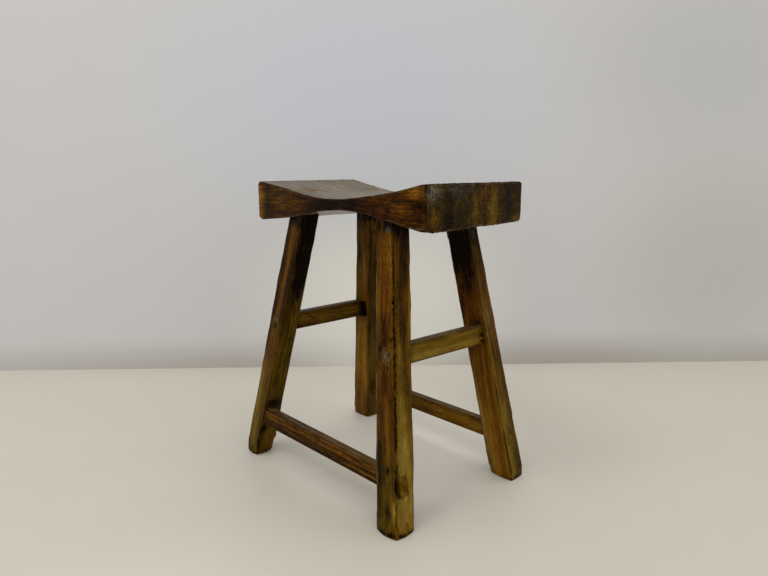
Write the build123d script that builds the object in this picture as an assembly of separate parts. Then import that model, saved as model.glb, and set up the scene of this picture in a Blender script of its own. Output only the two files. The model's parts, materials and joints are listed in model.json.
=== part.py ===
from build123d import *
import os

# A saddle stool in old elm: a plank seat, dished on top and arched underneath, on four
# splayed legs that are tied by two low long rails and two high short rails. Every joint is
# a through mortise and tenon, and the leg tenons are wedged where they come out on top.
# Lengths are in millimetres. X runs along the seat, the front is at -Y, and Z is up.

# Seat plank. The arch was hewn by eye, so its turn lies right of the middle, and the plank's
# left end is left thicker than its right end.
SEAT_LENGTH = 400.0
SEAT_WIDTH = 223.0
SEAT_HEIGHT = 502.0
SEAT_END_THICKNESS = 66.5
LEFT_END_EXTRA = 4.5
DISH_DROP = 36.0
DISH_BEND_RADIUS = 560.0
ARCH_RISE = 27.0
ARCH_OFFSET = 36.0
ARCH_BEND_RADIUS = 325.0
SEAT_EDGE_ROUND = 3.0

# Legs: how far in from the plank's ends and sides their centre lines enter its underside, how
# far the feet stand out from there, and their nominal size
LEG_IN_FROM_END = 92.0
LEG_IN_FROM_SIDE = 33.5
SPLAY_LENGTH_WAY = 71.0
SPLAY_CROSS_WAY = 52.0
LEG_SIZE = 41.0
LEG_EDGE_ROUND = 3.5
FOOT_WEAR = 3.0

# Leg tenons in the seat, and their wedges
LEG_TENON_LENGTH_WAY = 24.0
LEG_TENON_CROSS_WAY = 18.0
WEDGE_DEPTH = 30.0
WEDGE_HEAD = 4.0
WEDGE_TIP = 1.4

# Rails between the legs
LONG_RAIL_LEVEL = 75.0
SHORT_RAIL_LEVEL = 251.0
RAIL_DEPTH = 31.0
RAIL_THICKNESS = 18.0
RAIL_ARRIS_ROUND = 3.5
RAIL_TENON_THICKNESS = 14.0

# Two mortises were chopped wider than their tenons, and the slot beside each tenon is open:
# where the front rail comes out of the right leg, and where the left rail enters the back leg
FRONT_SLOT_WIDTH = 6.0
LEFT_SLOT_WIDTH = 15.0
OPEN_SLOT_DEPTH = 14.0

# Clearance round each tenon and wedge, and how far a cutting body runs past what it cuts
FIT = 0.2
OVERRUN = 12.0

SEAT_UNDERSIDE = SEAT_HEIGHT - SEAT_END_THICKNESS
LEG_HEAD_X = SEAT_LENGTH / 2 - LEG_IN_FROM_END
LEG_HEAD_Y = SEAT_WIDTH / 2 - LEG_IN_FROM_SIDE

# The legs were hewn and set by eye, so no two are alike. The shares are of LEG_SIZE: how far
# each head and foot stray outwards along X and Y, and the leg's two widths there.
LEG_SIDES = {
    "front_right": (1, -1),
    "front_left": (-1, -1),
    "back_right": (1, 1),
    "back_left": (-1, 1),
}
HEAD_STRAY_SHARES = {
    "front_right": (-0.03, 0.03),
    "front_left": (0.04, 0.04),
    "back_right": (-0.04, -0.02),
    "back_left": (0.02, -0.02),
}
FOOT_STRAY_SHARES = {
    "front_right": (-0.34, 0.04),
    "front_left": (0.26, 0.20),
    "back_right": (0.19, -0.19),
    "back_left": (-0.05, -0.09),
}
HEAD_WIDTH_SHARES = {
    "front_right": (0.89, 0.88),
    "front_left": (1.02, 0.84),
    "back_right": (1.11, 0.62),
    "back_left": (0.98, 0.95),
}
FOOT_WIDTH_SHARES = {
    "front_right": (1.08, 0.93),
    "front_left": (0.83, 1.00),
    "back_right": (1.16, 0.85),
    "back_left": (1.07, 1.00),
}

# Each rail's two legs. The first shares are of LEG_SIZE: how far each end lies outwards from
# the leg's centre line. The next are of RAIL_DEPTH: how far each end strays upwards from its
# level, and how deep the rail is there. The last are of RAIL_THICKNESS.
RAIL_LEGS = {
    "front": ("front_left", "front_right"),
    "back": ("back_left", "back_right"),
    "right": ("front_right", "back_right"),
    "left": ("front_left", "back_left"),
}
LONG_RAILS = ("front", "back")
RAIL_OUTWARD_SHARES = {
    "front": (0.21, 0.08),
    "back": (0.00, 0.00),
    "right": (0.09, 0.22),
    "left": (0.00, 0.22),
}
RAIL_STRAY_SHARES = {
    "front": (0.11, -0.12),
    "back": (-0.09, 0.03),
    "right": (0.05, 0.05),
    "left": (0.02, -0.12),
}
RAIL_DEPTH_SHARES = {
    "front": (1.02, 0.93),
    "back": (0.94, 0.90),
    "right": (0.97, 1.04),
    "left": (0.96, 1.02),
}
RAIL_THICKNESS_SHARES = {
    "front": 1.00,
    "back": 0.97,
    "right": 1.00,
    "left": 1.16,
}


def space_above(left_end, turn, right_end, bend_radius):
    """Everything over the seat's length and width that lies above a hewn face. In the side
    view the face is two straight slopes, with the turn between them rounded."""
    curve = FilletPolyline(left_end, turn, right_end, radius=bend_radius)
    ceiling = SEAT_HEIGHT + OVERRUN
    lid = Polyline(right_end, (right_end[0], ceiling), (left_end[0], ceiling), left_end)
    return extrude(Plane.XZ * make_face(curve + lid), amount=SEAT_WIDTH / 2, both=True)


def above_top():
    """The space above the dished top."""
    end = SEAT_LENGTH / 2
    turn = (0, SEAT_HEIGHT - DISH_DROP)
    return space_above((-end, SEAT_HEIGHT), turn, (end, SEAT_HEIGHT), DISH_BEND_RADIUS)


def above_underside():
    """The space above the arched underside."""
    end = SEAT_LENGTH / 2
    left_end = (-end, SEAT_UNDERSIDE - LEFT_END_EXTRA)
    turn = (ARCH_OFFSET, SEAT_UNDERSIDE + ARCH_RISE)
    return space_above(left_end, turn, (end, SEAT_UNDERSIDE), ARCH_BEND_RADIUS)


def seat_blank():
    """The plank before its mortises are cut, with its edges worn round."""
    plank = above_underside() - above_top()
    ends = plank.faces().filter_by(Axis.X).edges()
    sides = plank.faces().filter_by(Axis.Y).edges()
    return fillet(ShapeList(set(ends + sides)), SEAT_EDGE_ROUND)


def leg_centre(name, height):
    """The leg's centre line at a height above the floor."""
    side_x, side_y = LEG_SIDES[name]
    head_stray = Vector(*HEAD_STRAY_SHARES[name]) * LEG_SIZE
    foot_stray = Vector(*FOOT_STRAY_SHARES[name]) * LEG_SIZE
    head = Vector(LEG_HEAD_X, LEG_HEAD_Y) + head_stray
    foot = Vector(LEG_HEAD_X + SPLAY_LENGTH_WAY, LEG_HEAD_Y + SPLAY_CROSS_WAY) + foot_stray
    place = foot + (head - foot) * (height / SEAT_UNDERSIDE)
    return Vector(side_x * place.X, side_y * place.Y, height)


def leg_widths(name, height):
    """The leg's level section, along X and Y, at a height above the floor."""
    climb = height / SEAT_UNDERSIDE
    widths = []
    for head, foot in zip(HEAD_WIDTH_SHARES[name], FOOT_WIDTH_SHARES[name]):
        widths.append(LEG_SIZE * (foot + (head - foot) * climb))
    return widths


def rectangle_corners(plane, width, depth):
    """The corners of a rectangle centred on a plane, in order round it."""
    ways = [(-1, -1), (1, -1), (1, 1), (-1, 1)]
    return [plane.from_local_coords((u * width / 2, v * depth / 2, 0)) for u, v in ways]


def hewn_bar(first, last):
    """A tapered bar with six flat faces, between two rectangles that lie alike."""
    outlines = [first, last]
    for corner in range(len(first)):
        outlines.append([first[corner - 1], first[corner], last[corner], last[corner - 1]])
    return Solid(Shell([make_face(Polyline(*line, close=True)).face() for line in outlines]))


def longest_edges(bar):
    """The four long arrises of a bar."""
    return bar.edges().sort_by(SortBy.LENGTH)[-4:]


def bar_along_leg(name, low, low_widths, high, high_widths):
    """A bar along the leg's centre line, between level rectangles at two heights."""
    bottom = rectangle_corners(Plane(leg_centre(name, low)), *low_widths)
    top = rectangle_corners(Plane(leg_centre(name, high)), *high_widths)
    return hewn_bar(bottom, top)


def leg_blank(name):
    """The tapered leg from the floor up past the seat, with sharp arrises."""
    low_widths = leg_widths(name, 0)
    return bar_along_leg(name, 0, low_widths, SEAT_HEIGHT, leg_widths(name, SEAT_HEIGHT))


def leg_tenon(name, clearance=0.0):
    """The leg's tenon, from inside the leg to above the seat."""
    widths = [LEG_TENON_LENGTH_WAY + 2 * clearance, LEG_TENON_CROSS_WAY + 2 * clearance]
    return bar_along_leg(name, SEAT_UNDERSIDE - OVERRUN, widths, SEAT_HEIGHT + OVERRUN, widths)


def seat_top_at(x):
    """Height of the dished top where it slopes straight, out towards the ends."""
    return SEAT_HEIGHT - DISH_DROP * (1 - abs(x) / (SEAT_LENGTH / 2))


def leg_wedge(name, clearance=0.0):
    """The wedge down the middle of the tenon, across the seat's grain."""
    exit_height = seat_top_at(LEG_HEAD_X)
    taper = (WEDGE_HEAD - WEDGE_TIP) / WEDGE_DEPTH
    tip = exit_height - WEDGE_DEPTH - clearance
    head = exit_height + OVERRUN
    tip_widths = [WEDGE_TIP + 2 * clearance, LEG_TENON_CROSS_WAY]
    head_widths = [WEDGE_HEAD + OVERRUN * taper + 2 * clearance, LEG_TENON_CROSS_WAY]
    return bar_along_leg(name, tip, tip_widths, head, head_widths)


def rail_ends(rail):
    """The two points of the rail's centre line that lie beside its legs' centre lines."""
    level = LONG_RAIL_LEVEL if rail in LONG_RAILS else SHORT_RAIL_LEVEL
    ends = []
    for end, leg in enumerate(RAIL_LEGS[rail]):
        side_x, side_y = LEG_SIDES[leg]
        outwards = Vector(0, side_y) if rail in LONG_RAILS else Vector(side_x, 0)
        place = leg_centre(leg, level + RAIL_STRAY_SHARES[rail][end] * RAIL_DEPTH)
        ends.append(place + outwards * RAIL_OUTWARD_SHARES[rail][end] * LEG_SIZE)
    return ends


def rail_bar(rail, thickness, clearance=0.0):
    """A straight tapered bar through both of the rail's legs and out at their far sides."""
    start, end = rail_ends(rail)
    run = (end - start).normalized()
    level_way = run.cross(Vector(0, 0, 1))
    places = (start - run * LEG_SIZE, end + run * LEG_SIZE)
    outlines = []
    for place, share in zip(places, RAIL_DEPTH_SHARES[rail]):
        plane = Plane(origin=place, x_dir=level_way, z_dir=run)
        depth = share * RAIL_DEPTH + 2 * clearance
        outlines.append(rectangle_corners(plane, thickness + 2 * clearance, depth))
    return hewn_bar(*outlines)


def make_rail(rail, legs):
    """A rail: its body scribed to the legs' near faces, and a tenon through each leg that
    ends flush with the far face."""
    bar = rail_bar(rail, RAIL_THICKNESS_SHARES[rail] * RAIL_THICKNESS)
    body = fillet(longest_edges(bar), RAIL_ARRIS_ROUND)
    first, second = [legs[leg] for leg in RAIL_LEGS[rail]]
    tenons = rail_bar(rail, RAIL_TENON_THICKNESS)
    start, end = rail_ends(rail)
    middle = (start + end) / 2
    stretches = (body - first - second).solids()
    between_legs = stretches.sort_by(lambda stretch: (stretch.center() - middle).length)[0]
    return between_legs + (tenons & (first + second))


def front_slot():
    """The slot beside the front rail's tenon, in the right leg's outer face."""
    end = rail_ends("front")[1]
    face_x = leg_centre("front_right", end.Z).X + leg_widths("front_right", end.Z)[0] / 2
    length = OPEN_SLOT_DEPTH + OVERRUN
    height = RAIL_DEPTH_SHARES["front"][1] * RAIL_DEPTH
    width = RAIL_TENON_THICKNESS / 2 + FRONT_SLOT_WIDTH
    slot_x = face_x - OPEN_SLOT_DEPTH + length / 2
    return Pos(slot_x, end.Y - width / 2, end.Z) * Box(length, width, height)


def left_slot():
    """The slot beside the left rail's tenon, in the back leg's near face."""
    end = rail_ends("left")[1]
    face_y = leg_centre("back_left", end.Z).Y - leg_widths("back_left", end.Z)[1] / 2
    length = OPEN_SLOT_DEPTH + OVERRUN
    height = RAIL_DEPTH_SHARES["left"][1] * RAIL_DEPTH
    width = RAIL_TENON_THICKNESS / 2 + LEFT_SLOT_WIDTH
    slot_y = face_y + OPEN_SLOT_DEPTH - length / 2
    return Pos(end.X + width / 2, slot_y, end.Z) * Box(width, length, height)


def worn_leg(blank):
    """The blank with a bevel worn round its foot and its long arrises rounded."""
    worn = chamfer(blank.faces().sort_by(Axis.Z)[0].edges(), FOOT_WEAR)
    return fillet(longest_edges(worn), LEG_EDGE_ROUND)


def make_leg(name, blank):
    """A leg: worn round, cut to the arched underside, tenoned, slotted for its wedge and
    mortised for its two rails."""
    leg = worn_leg(blank)
    leg -= above_underside()
    leg += leg_tenon(name) - above_top()
    leg -= leg_wedge(name, clearance=FIT)
    for rail, ends in RAIL_LEGS.items():
        if name in ends:
            leg -= rail_bar(rail, RAIL_TENON_THICKNESS, clearance=FIT)
    if name == "front_right":
        leg -= front_slot()
    if name == "back_left":
        leg -= left_slot()
    return leg


def make_pieces():
    """Every piece of the stool under its name."""
    blanks = {name: leg_blank(name) for name in LEG_SIDES}
    seat = seat_blank()
    pieces = {}
    for name, blank in blanks.items():
        seat -= leg_tenon(name, clearance=FIT)
        pieces["leg_" + name] = make_leg(name, blank)
        pieces["wedge_" + name] = leg_wedge(name) - above_top()
    for rail in RAIL_LEGS:
        pieces["stretcher_" + rail] = make_rail(rail, blanks)
    pieces["seat"] = seat
    return pieces


def centre_on_footprint(pieces):
    """Move the stool so that the origin is on the floor, in the middle of its outline."""
    box = Compound(children=[Part(piece.wrapped) for piece in pieces.values()]).bounding_box()
    middle = box.center()
    shift = Location((-middle.X, -middle.Y, 0))
    print("seat centre after the move:", round(-middle.X, 3), round(-middle.Y, 3))
    return {name: piece.moved(shift) for name, piece in pieces.items()}


os.makedirs("parts", exist_ok=True)
for piece_name, piece in centre_on_footprint(make_pieces()).items():
    export_step(piece, f"parts/{piece_name}.step")
    print(piece_name, round(piece.volume), "mm3")
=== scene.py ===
# %% [markdown]
# # A saddle stool in old elm
# The stool is thirteen pieces of wood: a plank seat dished like a saddle, four splayed legs,
# four rails and four little wedges. The solids come from the part's CAD. Here each plank and
# bar is modelled again with the marks of the axe, of wear and of drying, and then dressed in
# a wood that knows where in its tree the piece was cut.

import json
import math
import random

import bmesh
import bpy
import numpy
from mathutils import Matrix, Vector

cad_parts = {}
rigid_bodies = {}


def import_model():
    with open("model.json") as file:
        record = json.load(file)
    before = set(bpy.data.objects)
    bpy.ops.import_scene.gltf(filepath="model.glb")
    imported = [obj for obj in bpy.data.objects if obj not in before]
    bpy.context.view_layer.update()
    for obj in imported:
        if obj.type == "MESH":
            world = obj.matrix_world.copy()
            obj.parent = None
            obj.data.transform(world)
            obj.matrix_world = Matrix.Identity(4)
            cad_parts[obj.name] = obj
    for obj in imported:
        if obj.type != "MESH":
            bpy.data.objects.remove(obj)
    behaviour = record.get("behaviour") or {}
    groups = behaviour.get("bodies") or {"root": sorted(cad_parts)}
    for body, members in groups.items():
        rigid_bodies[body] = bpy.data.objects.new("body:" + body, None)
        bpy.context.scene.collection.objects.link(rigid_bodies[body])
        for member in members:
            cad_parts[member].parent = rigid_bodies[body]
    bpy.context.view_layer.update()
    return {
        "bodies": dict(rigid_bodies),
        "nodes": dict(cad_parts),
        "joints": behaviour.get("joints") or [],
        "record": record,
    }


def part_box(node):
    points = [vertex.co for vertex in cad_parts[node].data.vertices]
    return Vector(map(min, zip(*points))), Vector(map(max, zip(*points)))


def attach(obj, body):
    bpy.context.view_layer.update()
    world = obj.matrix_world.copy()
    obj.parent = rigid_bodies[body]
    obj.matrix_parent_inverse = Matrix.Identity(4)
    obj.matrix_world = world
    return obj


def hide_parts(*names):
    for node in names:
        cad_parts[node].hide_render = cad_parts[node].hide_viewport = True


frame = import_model()
print("pieces in the frame:", sorted(frame["nodes"]))

# %% [markdown]
# ## The camera
# The view is a little above the seat and at 46 degrees to its long side. A pinhole camera was
# fitted to the seat's corners, the feet and the leg edges, so the lens and the place follow
# from the stool's own size. Depth of field stays off.

# %% Camera
MM = 0.001
SENSOR_WIDTH = 36.0
FOCAL_PIXELS = 584.0
PICTURE_WIDTH = 768.0
CAMERA_PLACE = Vector((707.45, -673.8, 518.45)) * MM
CAMERA_TURN = math.radians(45.96)
CAMERA_TILT = math.radians(90 - 11.44)
CAMERA_ROLL = math.radians(-0.13)

bpy.ops.object.select_all(action="DESELECT")
bpy.ops.object.camera_add(location=CAMERA_PLACE)
camera = bpy.context.active_object
turn = Matrix.Rotation(CAMERA_TURN, 3, "Z") @ Matrix.Rotation(CAMERA_TILT, 3, "X")
camera.rotation_euler = (turn @ Matrix.Rotation(CAMERA_ROLL, 3, "Z")).to_euler()
camera.data.sensor_width = SENSOR_WIDTH
camera.data.lens = FOCAL_PIXELS * SENSOR_WIDTH / PICTURE_WIDTH
camera.data.dof.use_dof = False
bpy.context.scene.camera = camera
bpy.context.scene.view_settings.view_transform = "Standard"
print("lens in mm:", round(camera.data.lens, 2))

# %% [markdown]
# ## Small helpers for modelling
# An edit-mode operator works on what is selected. These helpers select by place, so that each
# step below reads as it would by hand: pick the far end, slide it, pick the arrises, bevel.


# %% Helpers for picking and changing
def deselect_all():
    bpy.ops.object.select_all(action="DESELECT")


def activate(piece):
    """Make a piece the only selected object and the active one."""
    deselect_all()
    piece.select_set(True)
    bpy.context.view_layer.objects.active = piece


def pick(piece, test, kind="verts"):
    """In edit mode, select the vertices, edges or faces that pass a test."""
    modes = {"verts": "VERT", "edges": "EDGE", "faces": "FACE"}
    bpy.ops.mesh.select_mode(type=modes[kind])
    bpy.ops.mesh.select_all(action="DESELECT")
    mesh = bmesh.from_edit_mesh(piece.data)
    for element in getattr(mesh, kind):
        element.select_set(test(element))
    mesh.select_flush_mode()
    bmesh.update_edit_mesh(piece.data)


def apply_modifier(piece, kind, **settings):
    """Add a modifier, set it up and apply it."""
    activate(piece)
    modifier = piece.modifiers.new(kind.lower(), kind)
    for name, value in settings.items():
        setattr(modifier, name, value)
    bpy.ops.object.modifier_apply(modifier=modifier.name)


def copy_of(piece):
    """A second object with its own copy of the mesh."""
    activate(piece)
    bpy.ops.object.duplicate()
    return bpy.context.active_object


def cut_away(piece, cutter):
    """Subtract one mesh from another and remove the cutter. A cut that changes nothing is a
    mistake, so it stops the script."""
    before = len(piece.data.vertices)
    apply_modifier(piece, "BOOLEAN", operation="DIFFERENCE", object=cutter, solver="MANIFOLD")
    assert len(piece.data.vertices) != before, (piece.name, cutter.name)
    bpy.data.objects.remove(cutter)


def add_to(piece, other):
    """Unite one mesh with another and remove the other."""
    apply_modifier(piece, "BOOLEAN", operation="UNION", object=other, solver="MANIFOLD")
    bpy.data.objects.remove(other)


# %% [markdown]
# ## A hewn bar
# Legs, rails, tenons and wedges all start as one long block whose two end faces have their own
# size and place. A cube is added, and each end face is scaled and slid to where the bar ends.
# A bar that isn't upright is made upright first and then laid in place with a matrix.


# %% Hewn bar
def add_bar(name, low, low_size, high, high_size, place=None):
    """A block from a level rectangle at low to a level rectangle at high."""
    deselect_all()
    bpy.ops.mesh.primitive_cube_add(size=1)
    bar = bpy.context.active_object
    bar.name = name
    bpy.ops.object.mode_set(mode="EDIT")
    for side, centre, size in ((-1, low, low_size), (1, high, high_size)):
        pick(bar, lambda vertex: vertex.co.z * side > 0 and abs(vertex.co.z) == 0.5)
        bpy.ops.transform.resize(value=(size[0], size[1], 1), center_override=(0, 0, 0))
        move = Vector(centre) - Vector((0, 0, side / 2))
        bpy.ops.transform.translate(value=move)
    bpy.ops.object.mode_set(mode="OBJECT")
    if place:
        bar.matrix_world = place
        bpy.ops.object.transform_apply(location=True, rotation=True, scale=True)
    return bar


def run_frame(start, end, side_way=Vector((1, 0, 0))):
    """A matrix whose origin is at start, with Z towards end and X near side_way."""
    along = (end - start).normalized()
    across = (side_way - along * side_way.dot(along)).normalized()
    turn = Matrix((across, along.cross(across), along)).transposed()
    return Matrix.Translation(start) @ turn.to_4x4()


# %% [markdown]
# ## Marks of the axe and of wear
# A smooth block looks like plastic. The real bars were hewn and planed by hand, then handled
# for decades, so their faces are a little hollow or proud and their arrises are worn unevenly.
# A Displace modifier with a cloud texture gives both. Its texture lies in the space of an empty
# that is long in the grain's direction, so that the marks run with the grain.


# %% Worn faces and arrises
def add_noise(name, size, depth=2, contrast=1.0):
    """A cloud texture, with its size in the space it is read in."""
    clouds = bpy.data.textures.new(name, "CLOUDS")
    clouds.noise_scale = size
    clouds.noise_depth = depth
    clouds.contrast = contrast
    return clouds


def displace(piece, grain, texture, strength, stretch=1.0, middle=0.5, group="", salt=0.0):
    """Push a piece's surface in and out, with the texture drawn out along the grain."""
    deselect_all()
    bpy.ops.object.empty_add()
    ruler = bpy.context.active_object
    scale = Matrix.Diagonal((1.0, 1.0, stretch, 1.0))
    ruler.matrix_world = grain @ Matrix.Translation((salt, -salt, salt)) @ scale
    bpy.context.view_layer.update()
    apply_modifier(piece, "DISPLACE", texture=texture, strength=strength, mid_level=middle,
                   texture_coords="OBJECT", texture_coords_object=ruler, vertex_group=group)
    bpy.data.objects.remove(ruler)


def group_vertices(piece, name, weigh):
    """A vertex group whose weights come from each vertex's place and normal."""
    group = piece.vertex_groups.new(name=name)
    for vertex in piece.data.vertices:
        weight = weigh(vertex)
        if weight > 0:
            group.add([vertex.index], min(1.0, weight), "REPLACE")


ROUGH_HEWN = add_noise("rough_hewn", size=0.045, depth=1)
FINE_WEAR = add_noise("fine_wear", size=0.012, depth=2)
CHIPPED = add_noise("chipped", size=0.014, depth=1, contrast=1.6)
SPLINTERED = add_noise("splintered", size=0.007, depth=2, contrast=1.5)
print("noise sizes in mm:", [round(noise.noise_scale / MM) for noise in bpy.data.textures])

# %% [markdown]
# ## Cuts, bevels and slices
# Rings of edges are put in before an arris is rounded, so that a piece can bend and wear between
# them. The bevel is in real millimetres. A leg's foot is pressed flat again after all wear,
# because the stool stands on it.


# %% Cuts, bevels and slices
SHARP_ANGLE = math.radians(50)


def cut_across(piece, test, cuts):
    """Subdivide the edges that pass a test, which rings the piece with loops."""
    activate(piece)
    bpy.ops.object.mode_set(mode="EDIT")
    pick(piece, test, kind="edges")
    bpy.ops.mesh.subdivide(number_cuts=cuts)
    bpy.ops.object.mode_set(mode="OBJECT")


def bevel(piece, test, width, segments=2):
    """Round the edges that pass a test, or every sharp edge if there is no test."""
    activate(piece)
    bpy.ops.object.mode_set(mode="EDIT")
    pick(piece, test or (lambda edge: False), kind="edges")
    if not test:
        bpy.ops.mesh.edges_select_sharp(sharpness=SHARP_ANGLE)
    bpy.ops.mesh.bevel(offset=width * MM, segments=segments, profile=0.5, affect="EDGES")
    bpy.ops.object.mode_set(mode="OBJECT")


def make_dense(piece, levels):
    """Halve every face again and again without changing the shape."""
    apply_modifier(piece, "SUBSURF", subdivision_type="SIMPLE", levels=levels,
                   render_levels=levels)


def flatten_foot(piece):
    """Press whatever sank under the floor back up to it."""
    activate(piece)
    bpy.ops.object.mode_set(mode="EDIT")
    pick(piece, lambda vertex: vertex.co.z < 0.1 * MM)
    bpy.ops.transform.resize(value=(1, 1, 0), center_override=(0, 0, 0))
    bpy.ops.object.mode_set(mode="OBJECT")


def slice_off(piece, place, outwards):
    """Cut a piece flat at a plane and throw away what lies outwards of it."""
    activate(piece)
    bpy.ops.object.mode_set(mode="EDIT")
    bpy.ops.mesh.select_all(action="SELECT")
    bpy.ops.mesh.bisect(plane_co=place, plane_no=outwards, use_fill=True, clear_outer=True)
    bpy.ops.object.mode_set(mode="OBJECT")


# %% [markdown]
# ## Where the legs stand
# The legs were set by eye, so each has its own foot, head and thickness. The places are from
# the middle of the seat, which isn't quite the middle of the feet.

# %% The legs' places
seat_low, seat_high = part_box("seat")
SEAT_MIDDLE = Vector(((seat_low.x + seat_high.x) / 2, (seat_low.y + seat_high.y) / 2, 0))
HEAD_LEVEL = 435.0
LEG_TOP_LEVEL = 456.0
LEGS = {
    "front_right": {"foot": (165.1, -131.6), "foot_size": (44.3, 38.1),
                    "head": (106.8, -79.2), "head_size": (36.5, 36.1)},
    "front_left": {"foot": (-189.7, -138.2), "foot_size": (34.0, 41.0),
                   "head": (-109.6, -79.6), "head_size": (41.8, 34.4)},
    "back_right": {"foot": (186.8, 122.2), "foot_size": (47.6, 34.9),
                   "head": (106.4, 77.2), "head_size": (45.5, 25.4)},
    "back_left": {"foot": (-177.0, 126.3), "foot_size": (43.9, 41.0),
                  "head": (-108.8, 77.2), "head_size": (40.2, 39.0)},
}


def at(x, y, z):
    """A place in millimetres from the middle of the seat, as a vector in metres."""
    return SEAT_MIDDLE + Vector((x, y, z)) * MM


def between(low, high, level):
    """A value that changes evenly from the foot to the head, at a level."""
    climb = level / HEAD_LEVEL
    return [a + (b - a) * climb for a, b in zip(low, high)]


def leg_point(leg, level):
    """The leg's centre line at a level above the floor."""
    x, y = between(LEGS[leg]["foot"], LEGS[leg]["head"], level)
    return at(x, y, level)


def leg_size(leg, level):
    """The leg's level section at a level, in metres."""
    return [size * MM for size in between(LEGS[leg]["foot_size"], LEGS[leg]["head_size"], level)]


def leg_grain(leg):
    """A matrix along the leg, from its foot, with X near the seat's length."""
    return run_frame(leg_point(leg, 0), leg_point(leg, HEAD_LEVEL))


for leg in LEGS:
    lean = leg_grain(leg).col[2].xyz.angle(Vector((0, 0, 1)))
    print(leg, "leans", round(math.degrees(lean), 1), "degrees")

# %% [markdown]
# ## Where the rails run
# Each rail runs between two legs, and lies on their centre lines or some way outwards of them.
# Its X is its depth, which is upright, and its Y is its thickness. Its tenons keep the depth
# and are thinner.

# %% The rails' places
RAIL_REACH = 41.0
RAIL_TENON_THICKNESS = 14.0
RAILS = {
    "front": {"legs": ("front_left", "front_right"), "levels": (78.4, 71.3),
              "shifts": ((0, -8.6, 0), (0, -3.3, 0)), "depths": (31.6, 28.8), "thickness": 18.0},
    "back": {"legs": ("back_left", "back_right"), "levels": (72.2, 75.9),
             "shifts": ((0, 0, 0), (0, 0, 0)), "depths": (29.1, 27.9), "thickness": 17.5},
    "right": {"legs": ("front_right", "back_right"), "levels": (252.6, 252.6),
              "shifts": ((3.7, 0, 0), (9.0, 0, 0)), "depths": (30.1, 32.2), "thickness": 18.0},
    "left": {"legs": ("front_left", "back_left"), "levels": (251.6, 247.3),
             "shifts": ((0, 0, 0), (-9.0, 0, 0)), "depths": (29.8, 31.6), "thickness": 20.9},
}


def rail_line(rail):
    """The two ends of the rail's centre line, beside its legs' centre lines."""
    facts = RAILS[rail]
    return [leg_point(leg, level) + Vector(shift) * MM
            for leg, level, shift in zip(facts["legs"], facts["levels"], facts["shifts"])]


def rail_grain(rail):
    """A matrix along the rail, from its first leg, with X upright."""
    start, end = rail_line(rail)
    return run_frame(start, end, side_way=Vector((0, 0, 1)))


def add_rail_bar(name, rail, thickness, first_inset, last_inset, clearance=0.0):
    """A bar along the rail, cut short of each end by an inset, which may be negative."""
    start, end = rail_line(rail)
    length = (end - start).length / MM
    depths = RAILS[rail]["depths"]
    sections = []
    for along in (first_inset, length - last_inset):
        share = (along + RAIL_REACH) / (length + 2 * RAIL_REACH)
        depth = depths[0] + (depths[1] - depths[0]) * share
        size = [(depth + 2 * clearance) * MM, (thickness + 2 * clearance) * MM]
        sections.append(((0, 0, along * MM), size))
    return add_bar(name, *sections[0], *sections[1], place=rail_grain(rail))


for rail in RAILS:
    start, end = rail_line(rail)
    print("rail", rail, "spans", round((end - start).length / MM), "mm between leg centres")

# %% [markdown]
# ## Where in the tree a piece was cut
# Wood grain is a solid pattern: rings round the heart, drawn out along the trunk. So each piece
# stores, for every vertex, how far it lay from the heart and how far up the trunk. Pieces cut
# from different places in the tree then differ as real boards do, and end grain and face grain
# meet at the arrises. The place is kept as an attribute of the mesh, which all woods read.
#
# Age is not evenly spread: dirt gathers at the joints, feet rub the low rails, and sitting
# polishes the top. Soft strokes, each an ellipsoid, say where a piece is lighter or darker
# (tone), more olive (hue), dirty, and in places painted with shade (grime), worn grey, and in
# places painted with a sheen and highlights (grey), even in its grain (calm) or polished (wax).
# They are kept as attributes too, and the grain breaks them up. A stroke with a facing lies only
# on the faces that look that way.


# %% Grain and colour strokes as attributes
STROKES = ("tone", "hue", "grime", "grey", "calm", "wax")
FACING_FALL = 1.4


def read_vertices(piece, frame, kind):
    """The places or normals of all vertices in a frame, in metres."""
    values = numpy.empty(len(piece.data.vertices) * 3)
    piece.data.vertices.foreach_get(kind, values)
    back = numpy.array(frame.inverted())
    turned = values.reshape(-1, 3) @ back[:3, :3].T
    return turned + back[:3, 3] if kind == "co" else turned


def remember_grain(piece, grain, heart):
    """Store each vertex's place in the tree, with the heart at a place across the piece."""
    places = read_vertices(piece, grain, "co") - numpy.array(heart) * MM
    layer = piece.data.attributes.new("tree", "FLOAT_VECTOR", "POINT")
    layer.data.foreach_set("vector", places.ravel())


def lay_strokes(piece, frame, strokes):
    """Store how strongly each kind of stroke lies on each vertex. A stroke has a kind, its
    middle and its reach in millimetres in the frame, a strength, and maybe a facing."""
    places = read_vertices(piece, frame, "co") / MM
    normals = read_vertices(piece, frame, "normal")
    totals = {kind: numpy.zeros(len(places)) for kind in STROKES}
    for kind, middle, reach, strength, *facing in strokes:
        distance = (((places - middle) / reach) ** 2).sum(axis=1)
        weight = strength * numpy.exp(-distance)
        if facing:
            turned_away = 1 - normals @ facing[0]
            weight *= numpy.clip(1 - FACING_FALL * turned_away, 0, 1) ** 2
        totals[kind] += weight
    for kind, total in totals.items():
        layer = piece.data.attributes.new(kind, "FLOAT", "POINT")
        layer.data.foreach_set("value", total)


# %% [markdown]
# ## Cracks and worm holes
# Elm splits along the grain as it dries, and old stools have a few beetle holes. A crack is cut
# with a thin blade whose stations are slid sideways a little, so that it wanders.


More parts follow.
